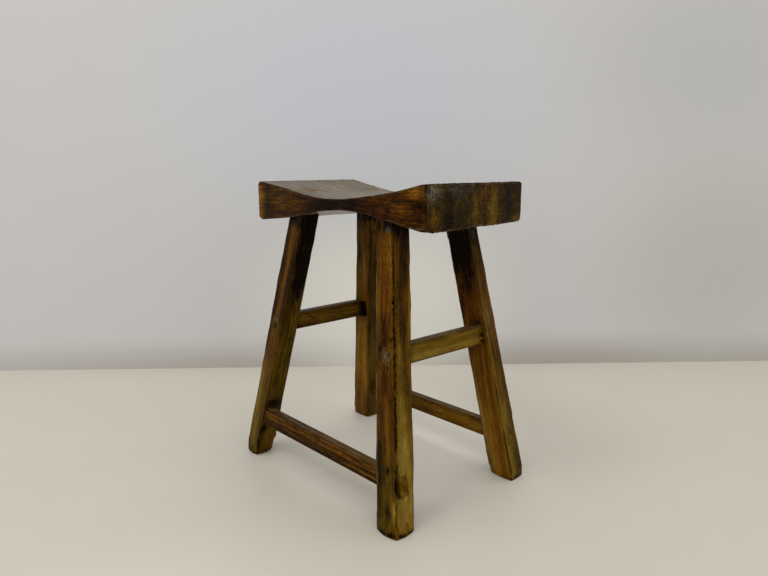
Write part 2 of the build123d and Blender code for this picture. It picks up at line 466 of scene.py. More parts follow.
# %% Tools for cracks and holes
def crack(piece, start, end, inwards, width, depth, seed, stations=14):
    """Cut a wandering crack along the surface from start to end, which are in metres."""
    rolls = random.Random(seed)
    length = (end - start).length
    section = (depth * 2 * MM, width * MM)
    blade = add_bar("blade", (0, 0, 0), section, (0, 0, length), section)
    cut_across(blade, lambda edge: edge.calc_length() > length * 0.8, stations)
    activate(blade)
    bpy.ops.object.mode_set(mode="EDIT")
    step = length / (stations + 1)
    for station in range(stations + 2):
        level = station * step
        middle = math.sin(math.pi * (station + 0.15) / (stations + 1.3))
        size = max(0.25, min(1.0, 2 * middle)) * rolls.uniform(0.25, 1.4)
        pick(blade, lambda vertex: abs(vertex.co.z - level) < step * 0.3)
        bpy.ops.transform.resize(value=(size, size, 1), center_override=(0, 0, level))
        sway = rolls.uniform(-0.5, 0.5) * width * MM
        bpy.ops.transform.translate(value=(0, sway, 0))
    bpy.ops.object.mode_set(mode="OBJECT")
    blade.matrix_world = run_frame(start, end, side_way=Vector(inwards).normalized())
    bpy.ops.object.transform_apply(location=True, rotation=True, scale=True)
    cut_away(piece, blade)


def drill_holes(piece, frame, places, radius=1.0, depth=7.0):
    """Bore small round holes at places in a frame, each with the way that it goes in."""
    drills = []
    for place, inwards in places:
        deselect_all()
        bpy.ops.mesh.primitive_cylinder_add(vertices=10, radius=radius * MM, depth=depth * MM,
                                            location=frame @ (Vector(place) * MM))
        drill = bpy.context.active_object
        way = frame.to_3x3() @ Vector(inwards)
        drill.rotation_euler = way.to_track_quat("Z", "Y").to_euler()
        drills.append(drill)
    deselect_all()
    for drill in drills:
        drill.select_set(True)
    bpy.context.view_layer.objects.active = drills[0]
    bpy.ops.object.join()
    bpy.ops.object.transform_apply(location=True, rotation=True, scale=True)
    cut_away(piece, bpy.context.active_object)


SMOOTH_ANGLE = math.radians(40)


def finish_piece(piece, node, material):
    """Shade a piece, dress it and put it in place of its CAD node."""
    activate(piece)
    bpy.ops.object.shade_smooth_by_angle(angle=SMOOTH_ANGLE)
    piece.data.materials.clear()
    piece.data.materials.append(material)
    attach(piece, "root")
    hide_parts(node)
    piece.data.calc_loop_triangles()
    print(piece.name, len(piece.data.loop_triangles), "triangles")


# %% [markdown]
# ## Old waxed elm
# The wood is northern elm, planed by hand, waxed, smoked and handled for decades. What the eye
# gets is a deep brown that drifts slowly between red, golden and olive along the grain, with
# dark soft stains, short dark pores and a low satin gloss that shows only at a grazing angle.
# Elm is ring-porous, so the rings are there too, but under the old wax they are faint. Each
# layer has its real size: bands and blotches in centimetres, streaks and fibres in millimetres.


# %% Material helpers
def linear(code):
    """A linear colour from an sRGB hex value."""
    parts = [int(code[start:start + 2], 16) / 255 for start in (1, 3, 5)]
    curve = [part / 12.92 if part <= 0.04045 else ((part + 0.055) / 1.055) ** 2.4
             for part in parts]
    return (*curve, 1.0)


def add_node(tree, kind, links=None, output=0, **settings):
    """Add a shader node, set its properties, set or link its inputs, and return an output."""
    node = tree.nodes.new("ShaderNode" + kind)
    for name, value in settings.items():
        setattr(node, name, value)
    for socket, source in (links or {}).items():
        if isinstance(source, bpy.types.NodeSocket):
            tree.links.new(source, node.inputs[socket])
        else:
            node.inputs[socket].default_value = source
    return node.outputs[output] if node.outputs else None


def set_ramp(ramp, stops):
    """Give a colour ramp its stops, as places and hex colours."""
    while len(ramp.elements) < len(stops):
        ramp.elements.new(0.5)
    for element, (place, code) in zip(ramp.elements, stops):
        element.position = place
        element.color = linear(code)


def new_tree(material):
    """Turn on a material's nodes and empty them."""
    material.use_nodes = True
    material.node_tree.nodes.clear()
    return material.node_tree


print("mid grey #808080 in linear light:", [round(part, 3) for part in linear("#808080")])

# %% [markdown]
# A noise is drawn out along the grain by giving it fewer cells per metre that way. To let it
# make a value swing to both sides, half of its amount is taken off first. The rings lie round
# the heart of the tree and sway as the trunk did. Their early wood holds the open pores, and
# bands of a few years each are darker or paler.


# %% Grain noise and rings
SMOOTH = {"interpolation_type": "SMOOTHSTEP"}
SWAY, SWAY_MM = 0.022, (45, 260)
BAND_MM = (9, 260)


def grain_noise(tree, place, across_mm, along_mm, detail=2.0, rough=0.5):
    """Noise that is drawn out along the grain, from 0 to 1."""
    cells = (1000 / across_mm, 1000 / across_mm, 1000 / along_mm)
    scaled = add_node(tree, "VectorMath", {0: place, 1: cells}, operation="MULTIPLY")
    return add_node(tree, "TexNoise", {"Vector": scaled, "Scale": 1.0, "Detail": detail,
                                       "Roughness": rough})


def swing(tree, total, noises):
    """Let noises, each with its amount, move a total to both sides."""
    for noise, amount in noises:
        low = add_node(tree, "Math", {0: total, 1: -0.5 * amount}, operation="ADD")
        total = add_node(tree, "Math", {0: noise, 1: amount, 2: low}, operation="MULTIPLY_ADD")
    return total


def add_rings(tree, place, ring_mm):
    """Where the early wood, the late wood and the bands of years lie."""
    sway = grain_noise(tree, place, *SWAY_MM)
    flat = add_node(tree, "VectorMath", {0: place, 1: (1.0, 1.0, 0.0)}, operation="MULTIPLY")
    radius = add_node(tree, "VectorMath", {0: flat}, output="Value", operation="LENGTH")
    swayed = add_node(tree, "Math", {0: sway, 1: SWAY, 2: radius}, operation="MULTIPLY_ADD")
    years = add_node(tree, "Math", {0: swayed, 1: 1000 / ring_mm}, operation="MULTIPLY")
    year = add_node(tree, "Math", {0: years}, operation="FRACT")
    early_wood = add_node(tree, "MapRange", {"Value": year, "From Min": 0.30, "From Max": 0.0},
                          **SMOOTH)
    late_wood = add_node(tree, "MapRange", {"Value": year, "From Min": 0.15, "From Max": 0.95},
                         **SMOOTH)
    up = add_node(tree, "SeparateXYZ", {0: place}, output="Z")
    ring_place = add_node(tree, "CombineXYZ", {0: swayed, 2: up})
    bands = grain_noise(tree, ring_place, *BAND_MM, detail=3.0, rough=0.6)
    return early_wood, late_wood, bands


# %% [markdown]
# The browns are two ramps from dark to light, one red and one olive, and the hue mixes them. A
# third ramp is the grey of wood that has lost its wax, which also serves as a painted sheen. Grey
# and grime, which in places is painted shade, are laid where strokes say so, in patches that
# follow the grain. Thin dark streaks and open pores are everywhere.
# Last come the arrises, rubbed pale, and the hollows, darkened by their dirt and by painted
# shade.

# %% Browns, greys and dirt
RED_BROWN = [(0.0, "#0c0401"), (0.25, "#341902"), (0.5, "#603704"), (0.75, "#84550b"),
             (1.0, "#aa7a30")]
OLIVE_BROWN = [(0.0, "#0b0701"), (0.25, "#302402"), (0.5, "#594409"), (0.75, "#7c6423"),
               (1.0, "#9f8957")]
GREY_OF_WEAR_AND_SHEEN = [(0.1, "#2c2821"), (0.4, "#605c52"), (0.6, "#868177"), (0.9, "#b4b0a7")]
GRIME_AND_SHADE = "#0c0501"
GREY_PATCH_MM, GRIME_AND_SHADE_PATCH_MM = (3, 30), (5, 22)


def lay_over(tree, colour, layers):
    """A colour under layers of others, each as thick as its factor says."""
    for factor, layer in layers:
        layer = linear(layer) if isinstance(layer, str) else layer
        colour = add_node(tree, "Mix", {"Factor": factor, 6: colour, 7: layer}, output=2,
                          data_type="RGBA")
    return colour


def add_browns(tree, tone, hue, figure):
    """The two browns mixed by hue, and the grey of wear, which also serves as a painted sheen."""
    colours = []
    for value, stops in ((tone, RED_BROWN), (tone, OLIVE_BROWN), (figure, GREY_OF_WEAR_AND_SHEEN)):
        colours.append(add_node(tree, "ValToRGB", {"Fac": value}))
        set_ramp(colours[-1].node.color_ramp, stops)
    red, olive, grey = colours
    return lay_over(tree, red, [(hue, olive)]), grey


def add_patches(tree, place, kind, size_mm):
    """How thickly a kind of stroke lies, broken up into patches."""
    patches = grain_noise(tree, place, *size_mm, detail=3.0, rough=0.6)
    uneven = add_node(tree, "MapRange", {"Value": patches, "From Min": 0.28, "From Max": 0.68,
                                         "To Min": 0.25, "To Max": 1.5}, **SMOOTH)
    stroke = add_node(tree, "Attribute", output="Fac", attribute_name=kind)
    return add_node(tree, "Math", {0: stroke, 1: uneven}, operation="MULTIPLY")


def where_all(tree, ranges):
    """One where every value has passed its range, easing in and out, and else nothing."""
    share = 1.0
    for value, low, high in ranges:
        passed = add_node(tree, "MapRange", {"Value": value, "From Min": low,
                                             "From Max": high}, **SMOOTH)
        share = add_node(tree, "Math", {0: share, 1: passed}, operation="MULTIPLY")
    return share


print("browns:", len(RED_BROWN), "red and", len(OLIVE_BROWN), "olive stops")


# %% [markdown]
# A wood is put together from these. Its tone is a level, the strokes and a figure. The figure
# adds up streaks, fibres and specks, which calm strokes quieten, and bands and blotches, which
# they don't. The wax is old and brown, so it mirrors little when looked at squarely, but near
# grazing it still reflects the room. The camera looks along the seat's top, and so the top
# seems pale; its wood is brown, and the strokes on the top paint part of that sheen on as grey
# and a lighter tone.


# %% Waxed elm
def make_old_elm(name, tone_level, hue_level, ring_mm, roughness, streak_share=0.75,
                 streak_mm=(4, 90)):
    """Waxed old elm. The levels are the tone and the hue where no stroke lies."""
    material = bpy.data.materials.new(name)
    tree = new_tree(material)
    place = add_node(tree, "Attribute", output="Vector", attribute_name="tree")
    tone_stroke, hue_stroke, calm, wax = [
        add_node(tree, "Attribute", output="Fac", attribute_name=kind)
        for kind in ("tone", "hue", "calm", "wax")]
    early_wood, late_wood, bands = add_rings(tree, place, ring_mm)
    blotches = grain_noise(tree, place, 22, 80, detail=5.0, rough=0.65)
    streaks = grain_noise(tree, place, *streak_mm, detail=4.0, rough=0.65)
    fibres = grain_noise(tree, place, 1.6, 40, detail=3.0, rough=0.6)
    specks = grain_noise(tree, place, 3, 8, detail=3.0, rough=0.6)

    # The figure, and the tone and hue that follow from it
    figure = swing(tree, 0.0, ((streaks, streak_share), (fibres, 0.60), (specks, 0.65)))
    restless = add_node(tree, "Math", {0: 1.0, 1: calm}, operation="SUBTRACT")
    figure = add_node(tree, "Math", {0: figure, 1: restless, 2: 0.5}, operation="MULTIPLY_ADD")
    figure = swing(tree, figure, ((bands, 0.60), (blotches, 0.80), (late_wood, 0.07)))
    tone = add_node(tree, "Math", {0: figure, 1: tone_level - 0.5}, operation="ADD")
    tone = add_node(tree, "Math", {0: tone, 1: tone_stroke}, operation="ADD")
    hue = add_node(tree, "Math", {0: hue_stroke, 1: hue_level}, operation="ADD")
    drift = grain_noise(tree, place, 20, 130, detail=3.0)
    hue = swing(tree, hue, ((drift, 1.1), (bands, 0.5)))
    colour, grey = add_browns(tree, tone, hue, figure)

    # Open pores, most of them in the early wood, and thin dark streaks that come in groups
    pores = where_all(tree, [(grain_noise(tree, place, 0.9, 11, detail=1.0), 0.56, 0.68)])
    in_early = add_node(tree, "Math", {0: early_wood, 1: 0.7, 2: 0.3}, operation="MULTIPLY_ADD")
    pores = add_node(tree, "Math", {0: pores, 1: in_early}, operation="MULTIPLY")
    thin = where_all(tree, [(grain_noise(tree, place, 2.2, 60, detail=3.0), 0.57, 0.66),
                            (grain_noise(tree, place, 18, 70), 0.44, 0.58)])
    thin = add_node(tree, "Math", {0: thin, 1: restless}, operation="MULTIPLY")

    # Rubbed arrises, and hollows darkened by dirt and by painted shade, which the mesh itself
    # tells apart
    bend = add_node(tree, "NewGeometry", output="Pointiness")
    rubbed = where_all(tree, [(bend, 0.515, 0.57), (grain_noise(tree, place, 3, 14), 0.42, 0.62)])
    hollow_dirt_and_shade = where_all(tree, [(bend, 0.485, 0.42)])

    # Grey is worn grey and, in places, a painted sheen; grime is dirt and, in places, painted
    # shade.
    layers = [(add_patches(tree, place, "grey", GREY_PATCH_MM), grey),
              (add_patches(tree, place, "grime", GRIME_AND_SHADE_PATCH_MM), GRIME_AND_SHADE)]
    for spots, share, code in ((thin, 0.85, "#120904"), (pores, 0.42, "#160b04"),
                               (rubbed, 0.45, "#7f602c"), (hollow_dirt_and_shade, 0.85, "#0b0603")):
        layers.append((add_node(tree, "Math", {0: spots, 1: share}, operation="MULTIPLY"), code))
    colour = lay_over(tree, colour, layers)

    # The gloss is duller in pores and stronger where the wax is polished
    patchy = where_all(tree, [(blotches, 0.3, 0.7)])
    gloss, height = roughness - 0.05, 0.0
    for part, amount in ((patchy, 0.10), (pores, 0.25), (wax, -0.20)):
        gloss = add_node(tree, "Math", {0: part, 1: amount, 2: gloss}, operation="MULTIPLY_ADD")
    for part, amount in ((late_wood, 0.3), (fibres, 0.5), (pores, -0.8)):
        height = add_node(tree, "Math", {0: part, 1: amount, 2: height},
                          operation="MULTIPLY_ADD")
    bump = add_node(tree, "Bump", {"Height": height, "Strength": 0.4, "Distance": 0.0006})
    wood = add_node(tree, "BsdfPrincipled", {
        "Base Color": colour, "Roughness": gloss, "IOR": 1.5, "Specular IOR Level": 0.08,
        "Specular Tint": linear("#5a3c1c"), "Normal": bump})
    add_node(tree, "OutputMaterial", {"Surface": wood})
    return material


# %% [markdown]
# The plank is the darkest wood, because its end grain and its sides have drunk the most dirt.
# The legs are redder above and more olive below. The rails are the lightest, because hands and
# feet rub them.

# %% Woods
plank_elm = make_old_elm("waxed_elm_plank", 0.25, 0.42, ring_mm=4.2, roughness=0.42,
                         streak_share=0.55)
leg_elm = make_old_elm("waxed_elm_legs", 0.37, 0.45, ring_mm=3.6, roughness=0.45)
rail_elm = make_old_elm("waxed_elm_rails", 0.44, 0.50, ring_mm=3.0, roughness=0.45)
split_elm = make_old_elm("split_elm_rail", 0.38, 0.25, ring_mm=3.0, roughness=0.5,
                         streak_share=1.9, streak_mm=(3.2, 420))
woods = (plank_elm, leg_elm, rail_elm, split_elm)
print("woods:", [wood.name for wood in woods])

# %% [markdown]
# ## The seat plank
# One thick plank, axed so that its top dips and its underside arches the same way. It was done
# by eye, so the four long arrises each have their own line. A block is cut into stations along
# its length and each station's corners are slid to those lines. This is quicker to shape than a
# boolean, and it leaves an even mesh that can take the wear.

# %% Seat plank
SEAT_LENGTH, SEAT_WIDTH = 400.0, 223.0
SEAT_END, SEAT_SIDE = SEAT_LENGTH / 2, SEAT_WIDTH / 2
SEAT_TOP, SEAT_UNDERSIDE = 502.0, 435.0
SEAT_STATIONS, SEAT_ROWS, SEAT_LAYERS = 32, 13, 4
TOP, UNDER, FRONT, BACK = 1, -1, -1, 1
EASING = (-12, -6, 0, 6, 12)
SEAT_LINES = {
    (TOP, FRONT): ((-200, 501.2), (-183, 498.0), (-146, 493.6), (-111, 488.2), (-77, 481.4),
                   (-46, 477.2), (-15, 475.6), (14, 475.0), (51, 477.4), (87, 481.8),
                   (119, 485.8), (143, 489.6), (163, 493.6), (187, 498.9), (200, 502.0)),
    (TOP, BACK): ((-200, 502.2), (-185, 498.9), (-161, 493.3), (-118, 485.3), (-85, 479.7),
                  (-50, 476.3), (0, 475.1), (50, 477.3), (100, 482.9), (150, 490.9),
                  (200, 502.2)),
    (UNDER, FRONT): ((-200, 431.4), (-181, 433.0), (-147, 436.4), (-117, 439.6), (-26, 454.5),
                     (4, 457.2), (28, 458.6), (55, 457.5), (84, 454.8), (115, 449.7),
                     (145, 444.4), (177, 439.3), (200, 435.6)),
    (UNDER, BACK): ((-200, 430.4), (-150, 435.6), (-110, 440.4), (-30, 454.0), (20, 458.4),
                    (55, 457.6), (110, 451.0), (160, 444.0), (200, 439.0)),
}


def seat_line(face, side, x):
    """Height of one of the plank's long arrises, eased over a little of its length."""
    heights = numpy.interp([x + shift for shift in EASING], *zip(*SEAT_LINES[face, side]))
    return sum(heights) / len(heights)


def seat_top(x, y):
    """Height of the dished top."""
    share = (y + SEAT_SIDE) / SEAT_WIDTH
    return seat_line(TOP, FRONT, x) * (1 - share) + seat_line(TOP, BACK, x) * share


# How far the underside of the right end lies off a straight line from front to back
END_EDGE = ((-111.5, -0.8), (-90, -2.0), (-56, -1.9), (-28, -2.4), (-12, 0.1), (19, -1.5),
            (56, -1.7), (111.5, -0.9))
END_EDGE_REACH, END_EDGE_STATIONS, HALFWAY_UP = 70.0, 5, 460.0

deselect_all()
bpy.ops.mesh.primitive_cube_add(size=1, location=at(0, 0, (SEAT_TOP + SEAT_UNDERSIDE) / 2))
seat = bpy.context.active_object
seat.name = "worn_seat_plank"
seat.dimensions = (SEAT_LENGTH * MM, SEAT_WIDTH * MM, (SEAT_TOP - SEAT_UNDERSIDE) * MM)
bpy.ops.object.transform_apply(location=True, rotation=True, scale=True)
cut_across(seat, lambda edge: edge.calc_length() > 0.9 * SEAT_LENGTH * MM, SEAT_STATIONS - 1)

activate(seat)
bpy.ops.object.mode_set(mode="EDIT")
for station in range(SEAT_STATIONS + 1):
    x = SEAT_LENGTH * (station / SEAT_STATIONS - 0.5)
    for face, side in SEAT_LINES:
        start = at(x, side * SEAT_SIDE, SEAT_TOP if face == TOP else SEAT_UNDERSIDE)
        pick(seat, lambda vertex: (vertex.co - start).length < MM)
        lift = (seat_line(face, side, x) - start.z / MM) * MM
        bpy.ops.transform.translate(value=(0, 0, lift))
bpy.ops.object.mode_set(mode="OBJECT")
cut_across(seat, lambda edge: edge.calc_length() > 0.9 * SEAT_WIDTH * MM, SEAT_ROWS - 1)
activate(seat)
bpy.ops.object.mode_set(mode="EDIT")
for row in range(1, SEAT_ROWS):
    y = SEAT_WIDTH * (row / SEAT_ROWS - 0.5)
    for station in range(SEAT_STATIONS - END_EDGE_STATIONS, SEAT_STATIONS + 1):
        x = SEAT_LENGTH * (station / SEAT_STATIONS - 0.5)
        level = at(x, y, HALFWAY_UP)
        pick(seat, lambda vertex: vertex.co.z < level.z and (vertex.co - level).xy.length < MM)
        fade = max(0.0, 1 - (SEAT_END - x) / END_EDGE_REACH)
        bpy.ops.transform.translate(value=(0, 0, fade * numpy.interp(y, *zip(*END_EDGE)) * MM))
bpy.ops.object.mode_set(mode="OBJECT")
cut_across(seat, lambda edge: abs(edge.verts[0].co.z - edge.verts[1].co.z) > 10 * MM,
           SEAT_LAYERS - 1)
print("thickness at the middle in mm:",
      round(seat_line(TOP, FRONT, 0) - seat_line(UNDER, FRONT, 0), 1))

# %% [markdown]
# The rims come next. The left end is worn round, the lower front corner of the right end has
# been knocked off, and the underside has a step at the right end where the axe bit deeper. The
# ends were sawn across the grain, so they are the roughest, with upright ridges.

# %% Seat rims and wear
CHIPPED_CORNER = (193.5, -105.5, 438.5)
LEFT_END_X, BACK_SIDE_Y = at(1 - SEAT_END, 0, 0).x, at(0, SEAT_SIDE - 1, 0).y


def is_left_rim(edge):
    """One of the two level rims of the left end."""
    first, second = (vertex.co for vertex in edge.verts)
    return (max(first.x, second.x) < LEFT_END_X and abs(first.z - second.z) < MM
            and edge.calc_face_angle(0) > 1)


def is_back_arris(edge):
    """A piece of one of the two long back arrises."""
    first, second = (vertex.co for vertex in edge.verts)
    return (min(first.y, second.y) > BACK_SIDE_Y and abs(first.x - second.x) > 3 * MM
            and edge.calc_face_angle(0) > 1)


bevel(seat, is_left_rim, width=9, segments=4)
bevel(seat, is_back_arris, width=5, segments=3)
bevel(seat, None, width=2.6)
slice_off(seat, at(*CHIPPED_CORNER), Vector((1, -0.8, -1.4)))
make_dense(seat, 3)
print("seat faces:", len(seat.data.polygons))

seat_grain = run_frame(at(-SEAT_END, 0, 470), at(SEAT_END, 0, 470), side_way=Vector((0, 1, 0)))
upright = run_frame(at(0, 0, 400), at(0, 0, 500))
group_vertices(seat, "arrises", lambda vertex: max(map(abs, vertex.normal)) < 0.95)
group_vertices(seat, "faces", lambda vertex: max(0.0, -vertex.normal.z) + abs(vertex.normal.y))
group_vertices(seat, "ends", lambda vertex: abs(vertex.normal.x) ** 2)
group_vertices(seat, "end_rims", lambda vertex: (abs(vertex.co.x - SEAT_MIDDLE.x)
               > (SEAT_END - 7) * MM) * (abs(vertex.normal.z) + 0.3 * abs(vertex.normal.x)))
displace(seat, seat_grain, ROUGH_HEWN, strength=-0.0010, stretch=2.0, middle=0.3, group="faces")
displace(seat, upright, CHIPPED, strength=-0.0006, stretch=2.5, middle=0.5, group="ends")
displace(seat, upright, FINE_WEAR, strength=-0.0008, stretch=1.2, middle=0.4, group="ends")
displace(seat, upright, SPLINTERED, strength=-0.0014, stretch=1.0, middle=0.35, group="end_rims")
displace(seat, seat_grain, CHIPPED, strength=-0.0018, stretch=1.5, middle=0.3, group="arrises")
displace(seat, seat_grain, FINE_WEAR, strength=-0.0006, stretch=5.0, middle=0.4)

# %% [markdown]
# ## The legs
# Each leg is one bar, thicker at the foot. The foot's rim is worn round, most of all the front
# left one, which must have stood in the wet, and the feet have swollen a little and lost their
# square section. Cast rounds them and Displace swells them, both fading upwards. The head is
# cut to the seat's underside with the seat itself, as a joiner scribes a shoulder to the piece
# that it meets.

# %% Legs
FEET = {
    "front_right": {"rim": 2.2, "arris": 3.0, "reach": 20.0, "cast": (25.5, 0.45),
                    "swell": (("X", 1, 1.6), ("Y", -1, 1.8))},
    "front_left": {"rim": 7.0, "arris": 3.2, "reach": 26.0, "cast": (17.5, 0.50),
                   "swell": (("X", 1, 3.4),)},
    "back_right": {"rim": 1.8, "arris": 1.6, "reach": 15.0, "cast": (20.0, 0.30),
                   "swell": (("Y", -1, 1.5),)},
    "back_left": {"rim": 2.2, "arris": 3.0, "reach": 18.0, "cast": (20.8, 0.30),
                  "swell": (("X", 1, 1.2),)},
}
SWELL_REACH = 1.3
LEG_RINGS, LONG_EDGE = 27, 300 * MM
SPLIT_LEVELS, SPLIT_REACH = (90, 430), 6 * MM


def arris_weight(grain):
    """A weight that is one on a bar's arrises and nothing on its faces and ends."""
    back = grain.to_3x3().inverted()
    return lambda vertex: (max(map(abs, back @ vertex.normal)) < 0.95) * 1.0


def wear(piece, grain, seed, hollow, chips):
    """Hollow a bar's faces a little, chip its arrises, and roughen it all finely."""
    group_vertices(piece, "arrises", arris_weight(grain))
    group_vertices(piece, "sides", lambda vertex: 1 - abs(vertex.normal.dot(grain.col[2].xyz)))
    displace(piece, grain, ROUGH_HEWN, strength=-hollow, stretch=3.0, middle=0.35, group="sides",
             salt=seed)
    displace(piece, grain, CHIPPED, strength=-chips, stretch=2.5, middle=0.3, group="arrises",
             salt=seed)
    displace(piece, grain, FINE_WEAR, strength=-0.0004, stretch=6.0, middle=0.4, group="sides",
             salt=seed)


def near_split(vertex):
    """A weight that is one on the nearest leg's split arris and fades beside it."""
    level = vertex.co.z / MM
    if not SPLIT_LEVELS[0] < level < SPLIT_LEVELS[1]:
        return 0
    arris = leg_point("front_right", level)
    width, depth = leg_size("front_right", level)
    away = vertex.co - arris - Vector((width / 2, -depth / 2, 0))
    return max(0.0, 1 - away.length / SPLIT_REACH) ** 0.5


def round_foot(piece, leg):
    """Round the leg's section towards the floor, where it has been knocked and has swollen."""
    radius, share = FEET[leg]["cast"]
    reach = FEET[leg]["reach"] * MM
    group_vertices(piece, "foot", lambda vertex: (1 - vertex.co.z / reach) ** 0.5
                   if vertex.co.z < reach else 0)
    deselect_all()
    bpy.ops.object.empty_add()
    axis = bpy.context.active_object
    axis.matrix_world = leg_grain(leg)
    bpy.context.view_layer.update()
    apply_modifier(piece, "CAST", cast_type="CYLINDER", object=axis, use_z=False, factor=share,
                   use_radius_as_size=False, size=radius * MM, vertex_group="foot")
    bpy.data.objects.remove(axis)
    for direction, side, swell in FEET[leg]["swell"]:
        index = "XY".index(direction)
        name = "swell_" + direction
        group_vertices(piece, name, lambda vertex: max(0.0, side * vertex.normal[index])
                       * max(0.0, 1 - vertex.co.z / (reach * SWELL_REACH)) ** 0.5)
        apply_modifier(piece, "DISPLACE", direction=direction, strength=side * swell * MM,
                       mid_level=0.0, vertex_group=name)


def make_leg(leg, seed):
    """One worn leg, up to its scribed shoulder."""
    piece = add_bar("worn_leg_" + leg, leg_point(leg, 0), leg_size(leg, 0),
                    leg_point(leg, LEG_TOP_LEVEL), leg_size(leg, LEG_TOP_LEVEL))
    cut_across(piece, lambda edge: edge.calc_length() > LONG_EDGE, LEG_RINGS)
    cut_across(piece, lambda edge: abs(edge.verts[0].co.z - edge.verts[1].co.z) < MM, 1)
    bevel(piece, lambda edge: all(vertex.co.z < MM for vertex in edge.verts)
          and edge.calc_face_angle(0) > 1, width=FEET[leg]["rim"], segments=5)
    bevel(piece, None, width=FEET[leg]["arris"])
    make_dense(piece, 3)
    round_foot(piece, leg)
    wear(piece, leg_grain(leg), seed, hollow=0.0014, chips=0.0014)
    if leg == "front_right":
        group_vertices(piece, "split", near_split)
        displace(piece, leg_grain(leg), SPLINTERED, strength=-0.0034, stretch=1.6, middle=0.35,
                 group="split")
    flatten_foot(piece)
    cut_away(piece, copy_of(seat))
    print(piece.name, len(piece.data.polygons), "faces")
    return piece


legs = {leg: make_leg(leg, seed) for seed, leg in enumerate(LEGS)}

# %% [markdown]
# ## The rails
# Each rail is a slim bar whose shoulders are scribed to the legs, cut with the legs themselves.
# The left rail's underside was left as the axe made it, with hollows and a small step, so its
# lower corners are slid to a measured line.

# %% Rails
RAIL_STATIONS, RAIL_ROUND, RAIL_SEED = 20, 3.0, 5
AXED_UNDERSIDE = ((0, 0.0), (20, 0.0), (50, 3.4), (72, 2.0), (78, 0.9), (88, 0.2), (107, 1.6),
                  (128, 0.4), (166, 0.0), (205, 0.0))


def hollow_underside(piece, rail, line):
    """Slide the lower corners of a rail's stations up to a line of places and lifts."""
    start, end = rail_line(rail)
    grain = rail_grain(rail)
    back = grain.inverted()
    activate(piece)
    bpy.ops.object.mode_set(mode="EDIT")
    for station in range(RAIL_STATIONS + 1):
        along = (end - start).length * station / RAIL_STATIONS
        pick(piece, lambda vertex: (back @ vertex.co).x < -5 * MM
             and abs((back @ vertex.co).z - along) < MM)
        lift = numpy.interp(along / MM, *zip(*line)) * MM
        bpy.ops.transform.translate(value=grain.col[0].xyz * lift)
    bpy.ops.object.mode_set(mode="OBJECT")


def make_rail(rail, seed):
    """One worn rail, between its two scribed shoulders."""
    piece = add_rail_bar("worn_rail_" + rail, rail, RAILS[rail]["thickness"], 0.0, 0.0)
    longest = max(piece.dimensions)
    cut_across(piece, lambda edge: edge.calc_length() > 0.8 * longest, RAIL_STATIONS - 1)
    if rail == "left":
        hollow_underside(piece, rail, AXED_UNDERSIDE)
    cut_across(piece, lambda edge: 25 * MM < edge.calc_length() < 40 * MM, 1)
    bevel(piece, None, width=RAIL_ROUND)
    make_dense(piece, 3)
    wear(piece, rail_grain(rail), seed + RAIL_SEED, hollow=0.0012, chips=0.0012)
    for leg in RAILS[rail]["legs"]:
        cut_away(piece, copy_of(legs[leg]))
    print(piece.name, len(piece.data.polygons), "faces")
    return piece


rails = {rail: make_rail(rail, seed) for seed, rail in enumerate(RAILS)}

# %% [markdown]
# ## The joints
# Every joint is a through mortise and tenon. The leg tenons run up through the seat and are
# split by a wedge; the rail tenons run through the legs. Every mortise is cut with the same bar
# as its tenon, only a little thicker. A leg's tenon is sliced along the seat's top. A rail's
# tenon ends flush with the worn leg: a thicker bar that runs on outwards loses what lies in the
# leg, and the rest of it, the overhang, trims the tenon.

# %% Joints
TENON_LENGTH_WAY, TENON_CROSS_WAY, FIT, RAIL_FIT = 24.0, 18.0, 0.2, 0.45
WEDGE_DEPTH, WEDGE_HEAD, WEDGE_TIP = 30.0, 4.0, 1.4
WEDGE_OVERRUN = 12.0
TENON_FROM, TENON_TO, SUNK = 425, 512, 0.4
OVERHANG_REACH, OVERHANG_THICKNESS, OVERHANG_CLEARANCE, TENON_RINGS = 60, 30.0, 3.0, 10


def add_leg_tenon(leg, clearance=0.0):
    """The bar of a leg's tenon, from inside the leg to above the seat."""
    size = [(width + 2 * clearance) * MM for width in (TENON_LENGTH_WAY, TENON_CROSS_WAY)]
    return add_bar("tenon_" + leg, leg_point(leg, TENON_FROM), size,
                   leg_point(leg, TENON_TO), size)


def top_plane(leg):
    """A point of the seat's top where a leg comes out, and the upward normal there."""
    reach = TENON_LENGTH_WAY / 2
    x, y = LEGS[leg]["head"]
    rise = (seat_top(x + reach, y) - seat_top(x - reach, y)) / (2 * reach)
    tilt = (seat_top(x, y + reach) - seat_top(x, y - reach)) / (2 * reach)
    return at(x, y, seat_top(x, y) - SUNK), Vector((-rise, -tilt, 1))


def add_wedge(leg, name, clearance=0.0):
    """The tapered bar of a leg's wedge, from its tip to above the seat."""
    exit_level = seat_top(*LEGS[leg]["head"])
    taper = (WEDGE_HEAD - WEDGE_TIP) / WEDGE_DEPTH
    cross = (TENON_CROSS_WAY + 2 * clearance) * MM
    tip_size = ((WEDGE_TIP + 2 * clearance) * MM, cross)
    head_size = ((WEDGE_HEAD + WEDGE_OVERRUN * taper + 2 * clearance) * MM, cross)
    return add_bar(name, leg_point(leg, exit_level - WEDGE_DEPTH - clearance), tip_size,
                   leg_point(leg, exit_level + WEDGE_OVERRUN), head_size)


